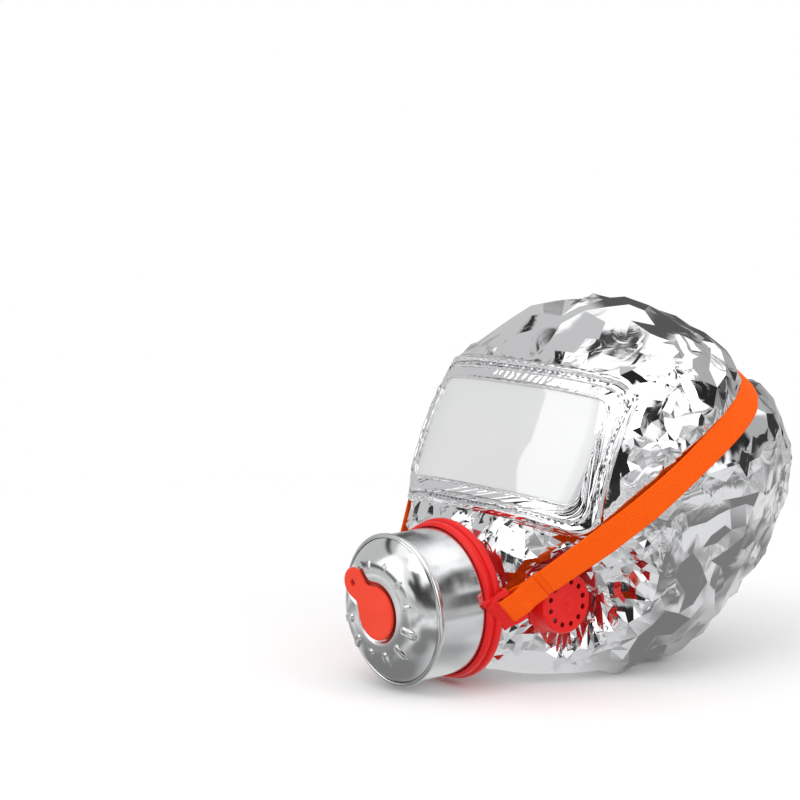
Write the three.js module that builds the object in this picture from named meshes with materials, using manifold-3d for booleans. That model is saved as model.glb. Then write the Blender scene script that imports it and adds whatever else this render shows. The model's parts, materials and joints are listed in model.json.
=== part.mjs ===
// A filtering smoke hood: an aluminised foil hood with a visor window, a half mask inside it,
// a steel filter canister on a red seat ring, two exhalation valves and a head strap.
// Millimetres, +Z up. The hood faces -Y and stands on its neck hem and its canister at z = 0.
import * as THREE from 'three';
import { mergeVertices } from 'three/addons/utils/BufferGeometryUtils.js';
import Module from 'manifold-3d';

const wasm = await Module();
wasm.setup();

// ---- Driving dimensions -------------------------------------------------------------------
const FRONT_Y = -163.58; // the canister's front face, which all depths are measured back from
const TILT = THREE.MathUtils.degToRad(2.3); // how far the canister noses down
const BEAD_Z = 53; // height of the canister's axis at its front bead
const GAP = 0.3; // between pieces that touch
const ROUND = 36; // sides of a large round piece
const SMALL_ROUND = 20; // sides of a small one

const can = { radius: 48.3, bead: 50, wall: 1, capDepth: 13, rearDepth: 54, inlet: 12 };
const outlet = { outer: 20, inner: 17.5, end: 72 };
const ring = { front: 51, rear: 62, outer: 53, inner: 48.7, port: 24.2 };
const plug = { disc: 17.5, tab: 9, tabOffset: [-22, 17], hole: 2.4, thick: 3, stem: 11.7, stemLength: 9 };
const bore = can.radius - can.wall - GAP; // radius of what fits inside the canister
const window_ = { width: 165, height: 72, lean: 24.2, centre: [113, 154], band: [14, 18], corner: 9 };
const valve = {
  depth: 104.5, height: 56.5, face: 67, cover: 20.2, base: 50.3, holeRing: 14.2, hole: 1.8, port: 12.8,
};
const pocket = { floor: 50, radius: 24, mouth: 38, reach: 88 }; // where the foil is drawn in to a valve
const FOIL = 1.5; // wall of the hood's solid; the laminate itself is thinner
const chinPanel = { half: 46, back: 132, top: 118 }; // the foil under the visor and chin
const SEAM_HALF = 1; // half width of the seam along the hood's middle
const CROWN_FROM = 172; // height where the side panels meet the crown's panels
const CENTRE_BACK = 178; // depth of the vertical line that the hood's sections are drawn round
const strap = { width: 20, thick: 1.2, off: 1.6, pivot: 26, rear: 205, drop: 21.6 };
const bar = { x: 58, depth: 66, z: 59 }; // centre of the lug's bar that the strap loops round

const behind = (depth) => FRONT_Y + depth;

// The hood's horizontal sections: height, half width, depth of its front and of its back, and how
// square its front half is (2 is an ellipse).
const SECTIONS = [
  [0, 44, 106, 211, 2],
  [5, 54, 93, 229, 2],
  [14, 66, 71, 251, 2],
  [34, 81, 50, 282, 1.7],
  [56, 94, 46, 304, 1.65],
  [78, 103, 52, 316, 1.9],
  [100, 109, 68, 325, 2.5],
  [124, 113, 84.5, 331, 3.1],
  [158, 112, 100, 324, 3.1],
  [190, 103, 114.5, 283, 2.9],
  [207, 92, 122.5, 261, 2.7],
  [224, 71, 143, 240, 2.2],
  [235, 50, 161, 227, 2],
  [241, 27, 176, 209, 2],
  [243.5, 1, 190, 192, 2],
];
const BACK_SQUARE = 2.25;
const MIDDLE_BELOW = 170; // depths of the middles of the lowest and highest sections
const MIDDLE_ABOVE = 191;
const HEM = 6; // width of the hem folded in round the neck
const BEYOND = 300; // past every face of the part, for the blocks that cut it

// ---- Helpers ------------------------------------------------------------------------------
function solid(geometry) {
  const bare = geometry.index ? geometry.toNonIndexed() : geometry.clone();
  bare.deleteAttribute('normal');
  bare.deleteAttribute('uv');
  const merged = mergeVertices(bare, 1e-4);
  return new wasm.Manifold(new wasm.Mesh({
    numProp: 3,
    vertProperties: merged.attributes.position.array,
    triVerts: new Uint32Array(merged.index.array),
  }));
}

function geometryOf(made) {
  const mesh = made.getMesh();
  const geometry = new THREE.BufferGeometry();
  geometry.setAttribute('position', new THREE.BufferAttribute(new Float32Array(mesh.vertProperties), 3));
  geometry.setIndex(new THREE.BufferAttribute(new Uint32Array(mesh.triVerts), 1));
  geometry.computeVertexNormals();
  return geometry;
}

// A closed outline of [radius, distance along Y] turned round the Y axis.
function turned(outline, sides = ROUND) {
  const points = outline.map(([r, y]) => new THREE.Vector2(r, y));
  if (outline[0][0] > 0) points.push(points[0].clone());
  if (THREE.ShapeUtils.area(points) > 0) points.reverse();
  points.reverse();
  return new THREE.LatheGeometry(points, sides);
}

// A hollow or solid round piece between two depths.
function tube(outer, inner, from, to, sides = ROUND) {
  const outline = inner > 0
    ? [[inner, from], [outer, from], [outer, to], [inner, to]]
    : [[0, from], [outer, from], [outer, to], [0, to]];
  return turned(outline, sides);
}

// The same along X, for the side valves.
const alongX = (geometry) => geometry.clone().rotateZ(-Math.PI / 2);

function circlePath(x, y, radius, PathClass = THREE.Path) {
  return new PathClass().absarc(x, y, radius, 0, Math.PI * 2, false);
}

function roundedRectangle(width, height, corner) {
  const w = width / 2 - corner;
  const h = height / 2 - corner;
  return new THREE.Shape()
    .absarc(w, h, corner, 0, Math.PI / 2)
    .absarc(-w, h, corner, Math.PI / 2, Math.PI)
    .absarc(-w, -h, corner, Math.PI, 1.5 * Math.PI)
    .absarc(w, -h, corner, 1.5 * Math.PI, 2 * Math.PI);
}

const plate = (shape, depth, curveSegments = 8) => (
  new THREE.ExtrudeGeometry(shape, { depth, bevelEnabled: false, curveSegments })
);

// ---- Materials ----------------------------------------------------------------------------
const finish = (color, roughness, metalness) => (
  new THREE.MeshStandardMaterial({ color, roughness, metalness })
);
const steel = finish(0xc9ccd0, 0.22, 1);
const foil = finish(0xd8dade, 0.15, 1);
const redPlastic = finish(0xe8221c, 0.45, 0);
const plugRubber = finish(0xf8432c, 0.6, 0);
const silicone = finish(0x2b2c2e, 0.6, 0);
const flapRubber = finish(0xe9e4d8, 0.5, 0);
const lensFilm = finish(0xdfe4e6, 0.08, 0);
const webbing = finish(0xf9560b, 0.8, 0);
const knit = finish(0xb8401c, 0.9, 0);
const whitePlastic = finish(0xe6e6e2, 0.5, 0);
const felt = finish(0xf0efe9, 0.95, 0);
const carbon = finish(0x1d1d1f, 0.9, 0);
const catalyst = finish(0x4a3a30, 0.9, 0);
const desiccant = finish(0xd9dfe6, 0.8, 0);

const part = new THREE.Group();
const nose = new THREE.Group(); // the canister and half mask, tilted together
nose.rotation.x = TILT;
nose.position.set(
  0,
  behind(can.capDepth * (1 - Math.cos(TILT))),
  BEAD_Z - can.capDepth * Math.sin(TILT),
);
part.add(nose);
nose.updateMatrixWorld(true);

function add(name, shape, material, parent = part) {
  const mesh = new THREE.Mesh(shape.isBufferGeometry ? shape : geometryOf(shape), material);
  mesh.name = name;
  parent.add(mesh);
  return mesh;
}

// A solid drawn in the tilted group's frame, carried to the part's own frame.
const inPart = (geometry) => solid(geometry.clone().applyMatrix4(nose.matrixWorld));

// ---- Canister -----------------------------------------------------------------------------
const beadY = can.capDepth;
const shellWall = can.radius - can.wall;

function canShell() {
  return turned([
    [shellWall, beadY - 1], [can.radius, beadY - 1], [can.bead, beadY], [can.bead, beadY + 2],
    [can.radius, beadY + 3], [can.radius, can.rearDepth], [shellWall, can.rearDepth],
  ]);
}

// The pressed front cap is a shallow dome with a keyhole recess for the plug and a ring of ribs.
function frontCap() {
  const dome = turned([
    [can.inlet, 0.6], [34, 0.6], [40.5, 2.2], [45, 6], [46.8, beadY - 1.3],
    [45.8, beadY - 1.3], [44, 7], [39.5, 4], [can.inlet, 3],
  ]);
  let made = solid(dome);
  const recess = plate(keyhole(1.4, false), 2).rotateX(Math.PI / 2).translate(0, 1.3, 0);
  made = made.subtract(solid(recess));
  const ribs = 12;
  for (let i = 0; i < ribs; i += 1) {
    const turn = (i + 0.5) / ribs * Math.PI * 2;
    const clearOfTab = Math.cos(turn - Math.atan2(plug.tabOffset[1], plug.tabOffset[0])) < 0.8;
    if (clearOfTab) {
      const rib = plate(roundedRectangle(10, 4.6, 2), 2.2, 1).rotateX(Math.PI / 2)
        .translate(31, 2.3, 0).rotateY(-turn);
      made = made.add(solid(rib));
    }
  }
  return made;
}

// The plug's outline: a disc over the inlet and a smaller pull tab joined by a waist.
function keyhole(margin, withHole) {
  const [tx, tz] = plug.tabOffset;
  const reach = Math.hypot(tx, tz);
  const lean = Math.atan2(tz, tx);
  const big = plug.disc + margin;
  const small = plug.tab + margin;
  const bigHalf = 0.56; // half angle of the disc's arc that the waist leaves out
  const smallHalf = 1.0;
  const at = (centre, radius, angle) => new THREE.Vector2(
    centre[0] + radius * Math.cos(lean + angle), centre[1] + radius * Math.sin(lean + angle),
  );
  const waist = (side) => {
    const middle = reach * 0.62;
    const width = 7.6 + margin;
    return new THREE.Vector2(
      middle * Math.cos(lean) - side * width * Math.sin(lean),
      middle * Math.sin(lean) + side * width * Math.cos(lean),
    );
  };
  const shape = new THREE.Shape();
  shape.absarc(0, 0, big, lean + bigHalf, lean - bigHalf + Math.PI * 2, false);
  const lower = at([tx, tz], small, -Math.PI + smallHalf);
  shape.quadraticCurveTo(waist(-1).x, waist(-1).y, lower.x, lower.y);
  shape.absarc(tx, tz, small, lean - Math.PI + smallHalf, lean + Math.PI - smallHalf, false);
  const upper = at([0, 0], big, bigHalf);
  shape.quadraticCurveTo(waist(1).x, waist(1).y, upper.x, upper.y);
  if (withHole) shape.holes.push(circlePath(tx, tz, plug.hole));
  return shape;
}

// A stopper drawn with its disc from the outside face back towards its stem.
function frontPlug() {
  const cap = plate(keyhole(0, true), plug.thick).rotateX(Math.PI / 2).translate(0, plug.thick - 2, 0);
  return solid(cap).add(solid(tube(plug.stem, 0, 0.5, plug.stemLength, SMALL_ROUND)));
}

function rearPlug() {
  const stopper = turned([
    [0, outlet.end - 4.5], [outlet.inner - GAP, outlet.end - 4.5],
    [outlet.inner - GAP, outlet.end + GAP], [outlet.outer + 1, outlet.end + GAP],
    [outlet.outer + 1, outlet.end + 3], [0, outlet.end + 3],
  ], SMALL_ROUND);
  const pull = roundedRectangle(14, 18, 5);
  pull.holes.push(circlePath(0, 2, 3));
  const tab = plate(pull, 3).rotateY(Math.PI / 2).rotateX(Math.PI / 2)
    .translate(-1.5, outlet.end + 10, 0);
  return solid(stopper).add(solid(tab));
}

function rearCap() {
  return turned([
    [outlet.inner, can.rearDepth - 2.5], [bore, can.rearDepth - 2.5],
    [bore, can.rearDepth - 1], [outlet.outer, can.rearDepth - 1],
    [outlet.outer, outlet.end], [outlet.inner, outlet.end],
  ]);
}

// A thin plate with a hole in the middle and a ring of holes, as in a filter's screens.
function screen(from) {
  const thick = 0.8;
  const holes = 8;
  let made = solid(tube(bore, 0, from, from + thick));
  const drill = (x, z) => solid(tube(3, 0, from - 1, from + 2, 6).translate(x, 0, z));
  made = made.subtract(drill(0, 0));
  for (let i = 0; i < holes; i += 1) {
    const turn = i / holes * Math.PI * 2;
    made = made.subtract(drill(28 * Math.cos(turn), 28 * Math.sin(turn)));
  }
  return made;
}

// The pleated particle filter: a zigzag sheet trimmed to a round.
function pleatedFilter(radius, from, to) {
  const pleats = 13;
  const pitch = radius * 2 / pleats;
  const shape = new THREE.Shape();
  const top = [];
  for (let i = 0; i <= pleats * 2; i += 1) {
    const x = -radius + i * pitch / 2;
    const high = i % 2 === 1;
    top.push([x, high ? to : from + 2]);
  }
  shape.moveTo(top[0][0], top[0][1]);
  top.slice(1).forEach(([x, y]) => shape.lineTo(x, y));
  top.reverse().forEach(([x, y]) => shape.lineTo(x, y - 1.8));
  const sheet = plate(shape, radius * 2 + 4).translate(0, 0, -radius - 2);
  return solid(sheet).intersect(solid(tube(radius, 0, from - 4, to + 4)));
}

function buildCanister() {
  add('can_shell', canShell(), steel, nose);
  add('can_front_cap', frontCap(), steel, nose);
  add('can_rear_cap', rearCap(), steel, nose);
  add('front_plug', frontPlug(), plugRubber, nose);
  add('rear_plug', rearPlug(), plugRubber, nose);
  add('inlet_screen', screen(13), steel, nose);
  add('pleated_filter', pleatedFilter(bore - 3, 16.2, 22.4), felt, nose);
  add('filter_gasket', tube(bore, bore - 2.6, 14.2, 24), flapRubber, nose);
  add('desiccant_bed', tube(bore, 0, 25.6, 30), desiccant, nose);
  add('bed_screen_front', screen(24.4), steel, nose);
  add('catalyst_bed', tube(bore, 0, 30.4, 38.4), catalyst, nose);
  add('carbon_bed', tube(bore, 0, 38.8, 47), carbon, nose);
  add('bed_screen_rear', screen(47.4), steel, nose);
  add('dust_felt', tube(bore, 0, 48.6, 51), felt, nose);
  const gasket = tube(outlet.outer + 2.2, outlet.outer + GAP, 63.6, 65.6, SMALL_ROUND);
  add('outlet_gasket', gasket, silicone, nose);
}

// ---- Strap lugs and seat ring -------------------------------------------------------------
// The webbing's middle line round the hood, by the angle from the hood's front.
const strapHeight = (turn) => strap.rear - strap.drop * (Math.PI - turn) ** 2;
const strapPoint = (turn) => sectionPoint(strapHeight(turn), turn, -strap.off);
const barPoint = new THREE.Vector3(bar.x, behind(bar.depth), bar.z);

// The angle where the webbing, pulled straight from its lug, first touches the hood.
function touchTurn() {
  const bearing = (turn) => {
    const p = strapPoint(turn).sub(barPoint);
    return Math.atan2(p.x, p.y);
  };
  let best = Math.PI / 4;
  for (let turn = best; turn < Math.PI * 0.6; turn += 0.01) {
    if (bearing(turn) > bearing(best)) best = turn;
  }
  return best;
}

// The strap leaves each lug towards that touch point. Its frame there: u along the webbing, v
// across it along the lug's bar, w out of its face.
const touch = touchTurn();
const leave = strapPoint(touch).sub(barPoint).normalize();
const across = new THREE.Vector3(0, -leave.z, leave.y).normalize();
const outOfFace = new THREE.Vector3().crossVectors(leave, across);
const strapPivot = barPoint.clone().addScaledVector(leave, strap.pivot);

function lugFrame(side) {
  const frame = new THREE.Matrix4().makeBasis(leave, across, outOfFace).setPosition(barPoint);
  return new THREE.Matrix4().makeScale(side, 1, 1).multiply(frame);
}

// A solid carried by a matrix that may mirror it.
function carried(made, matrix) {
  return made.transform(matrix.elements);
}

function lugPlate() {
  const shape = new THREE.Shape([
    new THREE.Vector2(-13, -10), new THREE.Vector2(-3.5, -14), new THREE.Vector2(3.4, -14),
    new THREE.Vector2(3.4, 14), new THREE.Vector2(-3.5, 14), new THREE.Vector2(-13, 10),
  ]);
  shape.holes.push(roundedSlot(-3.9, 21.6, 3.6));
  return plate(shape, 3.2).translate(0, 0, -1.6);
}

// A slot of that length across the webbing, ending at the bar's front face.
function roundedSlot(at, length, width) {
  const half = length / 2;
  return new THREE.Path([
    new THREE.Vector2(at - width / 2, -half), new THREE.Vector2(at + width / 2, -half),
    new THREE.Vector2(at + width / 2, half), new THREE.Vector2(at - width / 2, half),
  ]);
}

function seatRing() {
  const body = inPart(turned([
    [ring.port, ring.rear - 4], [ring.inner, ring.rear - 4], [ring.inner, ring.front],
    [50, ring.front], [51.4, ring.front + 2], [51.4, ring.front + 4.5], [50.6, ring.front + 5.5],
    [ring.outer, ring.front + 6.5], [ring.outer, ring.rear], [ring.port, ring.rear],
  ]));
  const bore = inPart(tube(ring.inner, 0, 20, ring.rear - 4));
  let made = body;
  for (const side of [1, -1]) made = made.add(carried(solid(lugPlate()), lugFrame(side)));
  return made.subtract(bore);
}

// The sewn end of the webbing: a loop round the bar, drawn in the strap's (u, w) plane. Its tail
// is hollowed to the rounded tip of the long webbing, which swings there.
function strapEnd() {
  const t = strap.thick;
  const inside = 1.6 + GAP; // half of the bar's thickness with its clearance
  const front = -2.1 - GAP; // just ahead of the bar, inside the slot
  const back = 3.4 + GAP;
  const join = back + 5;
  const shape = new THREE.Shape([
    new THREE.Vector2(front - t, -inside - t), new THREE.Vector2(back + 1, -inside - t),
    new THREE.Vector2(join, -t), new THREE.Vector2(strap.pivot, -t),
    new THREE.Vector2(strap.pivot, t), new THREE.Vector2(join, t),
    new THREE.Vector2(back + 1, inside + t), new THREE.Vector2(front - t, inside + t),
  ]);
  shape.holes.push(new THREE.Path([
    new THREE.Vector2(front, -inside), new THREE.Vector2(back, -inside),
    new THREE.Vector2(back, inside), new THREE.Vector2(front, inside),
  ]));
  const loop = plate(shape, strap.width).translate(0, 0, -strap.width / 2).rotateX(-Math.PI / 2);
  const ball = new THREE.SphereGeometry(strap.width / 2 + 2 * GAP, 20, 12).translate(strap.pivot, 0, 0);
  return solid(loop).subtract(solid(ball));
}

// ---- Hood ---------------------------------------------------------------------------------
// The hood's section at a height, between the listed ones by a smooth cubic.
function sectionAt(z) {
  let i = SECTIONS.findIndex((row) => row[0] > z);
  if (i < 0) i = SECTIONS.length - 1;
  i = Math.max(1, i);
  const rows = [i - 2, i - 1, i, i + 1].map((k) => SECTIONS[Math.min(Math.max(k, 0), SECTIONS.length - 1)]);
  const [before, low, high, after] = rows;
  const span = high[0] - low[0];
  const t = Math.min(1, Math.max(0, (z - low[0]) / span));
  const value = (k) => {
    const slopeLow = (high[k] - before[k]) / (high[0] - before[0]) * span;
    const slopeHigh = (after[k] - low[k]) / (after[0] - low[0]) * span;
    const t2 = t * t;
    const t3 = t2 * t;
    return (2 * t3 - 3 * t2 + 1) * low[k] + (t3 - 2 * t2 + t) * slopeLow
      + (3 * t2 - 2 * t3) * high[k] + (t3 - t2) * slopeHigh;
  };
  return { half: value(1), front: value(2), back: value(3), square: value(4) };
}

// The point of a section at an angle round it, 0 at the front, pulled in by a distance.
function sectionPoint(z, turn, inset) {
  const s = sectionAt(z);
  const frontal = Math.cos(turn) > 0;
  const power = frontal ? s.square : BACK_SQUARE;
  const half = Math.max(0.5, s.half - inset);
  const reach = Math.max(0.5, (frontal ? CENTRE_BACK - s.front : s.back - CENTRE_BACK) - inset);
  const c = Math.abs(Math.cos(turn));
  const n = Math.abs(Math.sin(turn));
  const r = ((c / reach) ** power + (n / half) ** power) ** (-1 / power);
  return new THREE.Vector3(
    r * Math.sin(turn), behind(CENTRE_BACK - r * Math.cos(turn)), z,
  );
}

// A closed loft through the hood's sections at the given heights, each pulled in by its inset.
function loft(levels, sides = 32) {
  const positions = [];
  const indices = [];
  for (const [z, inset, drawnAt] of levels) {
    for (let i = 0; i < sides; i += 1) {
      const p = sectionPoint(drawnAt ?? z, (i + 0.5) / sides * Math.PI * 2, inset);
      positions.push(p.x, p.y, z);
    }
  }
  const bottom = positions.length / 3;
  const [lowest, highest] = [levels[0], levels[levels.length - 1]];
  positions.push(0, behind(MIDDLE_BELOW), lowest[0]);
  positions.push(0, behind(MIDDLE_ABOVE), highest[0]);
  for (let row = 0; row < levels.length - 1; row += 1) {
    for (let i = 0; i < sides; i += 1) {
      const a = row * sides + i;
      const b = row * sides + (i + 1) % sides;
      indices.push(a, b, b + sides, a, b + sides, a + sides);
    }
  }
  const last = (levels.length - 1) * sides;
  for (let i = 0; i < sides; i += 1) {
    const j = (i + 1) % sides;
    indices.push(bottom, j, i);
    indices.push(bottom + 1, last + i, last + j);
  }
  const geometry = new THREE.BufferGeometry();
  geometry.setAttribute('position', new THREE.BufferAttribute(new Float32Array(positions), 3));
  geometry.setIndex(indices);
  return solid(geometry);
}

// Everything behind the flat patch where the canister's ring clamps the foil.
function behindPatch(depth) {
  const block = new THREE.BoxGeometry(2 * BEYOND, 2 * BEYOND, 2 * BEYOND);
  return inPart(block.translate(0, depth + BEYOND, 0));
}

const valveAxisY = behind(valve.depth);
const aboutValve = (geometry, side) => {
  const placed = solid(alongX(geometry)).translate([0, valveAxisY, valve.height]);
  return side > 0 ? placed : placed.mirror([1, 0, 0]);
};

// The space that a side valve's pocket takes out of the hood, grown by a wall.
function pocketSpace(side, wall) {
  const cone = turned([
    [0, pocket.floor - wall], [pocket.radius + wall, pocket.floor - wall],
    [pocket.mouth + wall, pocket.reach], [0, pocket.reach],
  ]);
  return aboutValve(cone, side);
}

// The whole hood as a closed skin: its outer loft less the same loft a wall further in.
function hoodShell() {
  const heights = [4, 13, 26, 43, 64, 88, 112, 136, 163, 188, 206, 221, 233, 240];
  const outer = loft([0, ...heights, 242.4, 243.5].map((z) => [z, 0]))
    .intersect(behindPatch(ring.rear + GAP));
  const hem = [[-1, HEM, 0], [FOIL, HEM, 0], [FOIL + 0.01, FOIL * 1.5, FOIL]];
  const body = heights.map((z) => [z, z < 20 ? FOIL * 1.5 : FOIL]);
  const inner = loft([...hem, ...body, [241, FOIL * 3]])
    .intersect(behindPatch(ring.rear + GAP + FOIL));
  let shell = outer;
  let space = inner;
  for (const side of [1, -1]) {
    shell = shell.subtract(pocketSpace(side, 0));
    space = space.subtract(pocketSpace(side, FOIL));
  }
  return shell.subtract(space);
}

// A rounded prism through the visor, along its own outward direction.
function visorPrism(marginX, marginZ, from = -30, to = 60) {
  const shape = roundedRectangle(
    window_.width + 2 * marginX, window_.height + 2 * marginZ, window_.corner + marginX * 0.5,
  );
  const lean = THREE.MathUtils.degToRad(window_.lean);
  const [depth, height] = window_.centre;
  const prism = plate(shape, to - from, 4).translate(0, 0, from)
    .rotateX(Math.PI / 2 - lean).translate(0, behind(depth), height);
  return solid(prism);
}

// A block between two places along each axis.
function slab(...spans) {
  const box = new THREE.BoxGeometry(...spans.map(([low, high]) => high - low));
  return solid(box.translate(...spans.map(([low, high]) => (low + high) / 2)));
}

function buildHood() {
  const whole = hoodShell();
  const valvePort = tube(valve.port, 0, 40, 60, SMALL_ROUND);
  const shell = whole.subtract(inPart(tube(ring.port, 0, 40, 80)))
    .subtract(aboutValve(valvePort, 1)).subtract(aboutValve(valvePort, -1));
  const [bandX, bandZ] = window_.band;
  const frame = shell.intersect(visorPrism(bandX, bandZ)).subtract(visorPrism(0, 0));
  add('window_frame', frame, foil);
  add('window_lens', whole.intersect(visorPrism(-GAP, -GAP)), lensFilm);
  const panels = shell.subtract(visorPrism(bandX + GAP, bandZ + GAP));
  const chin = (gap) => {
    const half = chinPanel.half + gap;
    return slab([-half, half], [-BEYOND, behind(chinPanel.back) + gap], [-BEYOND, chinPanel.top]);
  };
  add('chin_panel', panels.intersect(chin(0)), foil);
  const sides = panels.subtract(chin(GAP));
  const between = (low, high, from = -BEYOND, to = BEYOND) => (
    sides.intersect(slab([low, high], [-BEYOND, BEYOND], [from, to]))
  );
  const edge = SEAM_HALF + GAP;
  add('left_panel', between(edge, BEYOND, -BEYOND, CROWN_FROM), foil);
  add('right_panel', between(-BEYOND, -edge, -BEYOND, CROWN_FROM), foil);
  add('left_crown', between(edge, BEYOND, CROWN_FROM + GAP), foil);
  add('right_crown', between(-BEYOND, -edge, CROWN_FROM + GAP), foil);
  add('crown_seam', between(-SEAM_HALF, SEAM_HALF), foil);
}

// The neck cuff: a short sleeve of knitted cotton sewn into the hem, with its elastic.
function neckRing(outset, inset, from, to) {
  const outer = loft([[from, outset, 0], [to, outset, 0]]);
  const inner = loft([[from - 1, inset, 0], [to + 1, inset, 0]]);
  return outer.subtract(inner);
}

function buildNeck() {
  add('neck_cuff', neckRing(HEM + GAP, HEM + 2.5, 0.6, 13), knit);
  add('neck_elastic', neckRing(HEM + 2.5 + GAP, HEM + 4.6, 4, 11), flapRubber);
}

// ---- Half mask and valves -----------------------------------------------------------------
const mask = { rim: 124, half: [45, 56, 44], wall: 2.6, centreZ: 8, collarEnd: 88 };

function ellipsoid(inset) {
  const [x, y, z] = mask.half;
  return solid(new THREE.SphereGeometry(1, 20, 12)
    .scale(x - inset, y - inset, z - inset).translate(0, mask.rim, mask.centreZ));
}

function halfMask() {
  const front = solid(new THREE.BoxGeometry(200, 120, 200).translate(0, mask.rim - 60, 0));
  let cup = ellipsoid(0).intersect(front);
  const collar = solid(tube(ring.port - GAP, 0, 59, mask.collarEnd));
  cup = cup.add(collar).subtract(ellipsoid(mask.wall));
  const lip = ellipsoid(-2.5).subtract(ellipsoid(mask.wall + 3))
    .intersect(solid(new THREE.BoxGeometry(200, 3, 200).translate(0, mask.rim + 1.5, 0)));
  cup = cup.add(lip).subtract(solid(tube(outlet.outer + 2.4 + GAP, 0, 50, mask.collarEnd + 2)));
  let placed = cup.transform(nose.matrixWorld.elements);
  for (const side of [1, -1]) {
    const boss = tube(15.5, 12.6, 36, pocket.floor - FOIL - GAP, SMALL_ROUND);
    const hole = tube(12.6, 0, 20, 60, SMALL_ROUND);
    placed = placed.add(aboutValve(boss, side)).subtract(aboutValve(hole, side));
  }
  return placed;
}

// A valve seat: a short tube with a cross of spokes at its outer end.
function seat(outer, inner, from, to, flange) {
  let made = solid(turned([
    [inner, from], [outer, from], [outer, to - 1.8], [flange, to - 1.8], [flange, to], [inner, to],
  ], SMALL_ROUND));
  for (const turn of [0, Math.PI / 2]) {
    made = made.add(solid(new THREE.BoxGeometry(inner * 2 + 1, 1.2, 1.6)
      .translate(0, to - 1, 0).rotateY(turn)));
  }
  return made.add(solid(tube(2.4, 0, to - 1.6, to, 12)));
}

// The valve's cap: a low cup with a ring of holes in its face.
function coverCap() {
  const outer = valve.cover;
  let made = solid(turned([
    [outer + 1.4, valve.base], [outer, valve.base + 5], [outer - 1, valve.face], [0, valve.face],
    [0, valve.face - 1.8], [outer - 2, valve.face - 1.8], [outer - 2, valve.base],
  ]));
  const holes = 12;
  for (let i = 0; i < holes; i += 1) {
    const turn = (i + 0.5) / holes * Math.PI * 2;
    const drill = tube(valve.hole, 0, valve.face - 4, valve.face + 2, 7)
      .translate(valve.holeRing * Math.cos(turn), 0, valve.holeRing * Math.sin(turn));
    made = made.subtract(solid(drill));
  }
  return made;
}

const alongXSolid = (made, side) => {
  const turn = new THREE.Matrix4().makeRotationZ(-Math.PI / 2);
  const placed = made.transform(turn.elements).translate([0, valveAxisY, valve.height]);
  return side > 0 ? placed : placed.mirror([1, 0, 0]);
};

function buildValves() {
  const from = valve.base;
  const flap = tube(12.8, 0, from + 2.1, from + 2.9, SMALL_ROUND);
  const clamp = tube(17.8, 15.5, from, from + 3, SMALL_ROUND);
  for (const [name, side] of [['left', 1], ['right', -1]]) {
    const body = seat(12.3, 10.6, 37, from + 1.8, 15.2);
    add(`exhale_seat_${name}`, alongXSolid(body, side), whitePlastic);
    add(`exhale_flap_${name}`, aboutValve(flap, side), flapRubber);
    add(`exhale_clamp_${name}`, aboutValve(clamp, side), redPlastic);
    add(`exhale_cover_${name}`, alongXSolid(coverCap(), side), redPlastic);
  }
  const inPort = outlet.inner - GAP;
  add('inhale_seat', seat(inPort, outlet.inner - 2, 58, 62, inPort), whitePlastic, nose);
  add('inhale_flap', tube(14.8, 0, 62.4, 63.2, SMALL_ROUND), flapRubber, nose);
}

// ---- Strap --------------------------------------------------------------------------------
// The two edges of the webbing, from its left tip round the back to its right tip.
function strapEdges() {
  const half = strap.width / 2;
  const rows = []; // middle point, direction across and half width
  for (const lean of [75, 50, 25]) {
    const turn = THREE.MathUtils.degToRad(lean);
    const middle = strapPivot.clone().addScaledVector(leave, -half * Math.sin(turn));
    rows.push([middle, across, half * Math.cos(turn)]);
  }
  const onHood = [];
  const steps = 26;
  for (let i = 0; i <= steps; i += 1) {
    const turn = touch + (Math.PI - touch) * i / steps;
    const nudge = 0.002;
    const ahead = strapPoint(turn + nudge).sub(strapPoint(turn - nudge)).normalize();
    const z = strapHeight(turn);
    const up = sectionPoint(z + 1, turn, 0).sub(sectionPoint(z - 1, turn, 0));
    const out = new THREE.Vector3().crossVectors(ahead, up).normalize();
    onHood.push([strapPoint(turn), out.cross(ahead).normalize(), half]);
  }
  const run = 5; // steps in the straight run from the lug
  for (let i = 0; i < run; i += 1) {
    const middle = strapPivot.clone().lerp(onHood[0][0], i / run);
    rows.push([middle, across.clone().lerp(onHood[0][1], i / run).normalize(), half]);
  }
  rows.push(...onHood);
  const edge = (side) => rows.map(([middle, up, w]) => middle.clone().addScaledVector(up, side * w));
  return [-1, 1].map((side) => {
    const points = edge(side);
    const mirrored = points.slice(0, -1).reverse().map((p) => new THREE.Vector3(-p.x, p.y, p.z));
    return [...points, ...mirrored];
  });
}

function strapWeb() {
  const [lower, upper] = strapEdges();
  return ribbon(lower, upper, strap.thick);
}

// A closed strip between two edge lines, as thick as said on its outer side.
function ribbon(lower, upper, thick) {
  const positions = [];
  const indices = [];
  const count = lower.length;
  for (let i = 0; i < count; i += 1) {
    const ahead = lower[Math.min(i + 1, count - 1)].clone().sub(lower[Math.max(i - 1, 0)]);
    const side = upper[i].clone().sub(lower[i]);
    const out = new THREE.Vector3().crossVectors(ahead, side).normalize().multiplyScalar(thick);
    const corners = [lower[i], upper[i], upper[i].clone().add(out), lower[i].clone().add(out)];
    corners.forEach((p) => positions.push(p.x, p.y, p.z));
  }
  for (let i = 0; i < count - 1; i += 1) {
    for (let k = 0; k < 4; k += 1) {
      const a = i * 4 + k;
      const b = i * 4 + (k + 1) % 4;
      indices.push(a, b + 4, a + 4, a, b, b + 4);
    }
  }
  const end = (count - 1) * 4;
  indices.push(0, 2, 1, 0, 3, 2, end, end + 1, end + 2, end, end + 2, end + 3);
  const geometry = new THREE.BufferGeometry();
  geometry.setAttribute('position', new THREE.BufferAttribute(new Float32Array(positions), 3));
  geometry.setIndex(indices);
  geometry.computeVertexNormals();
  return geometry;
}

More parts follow.
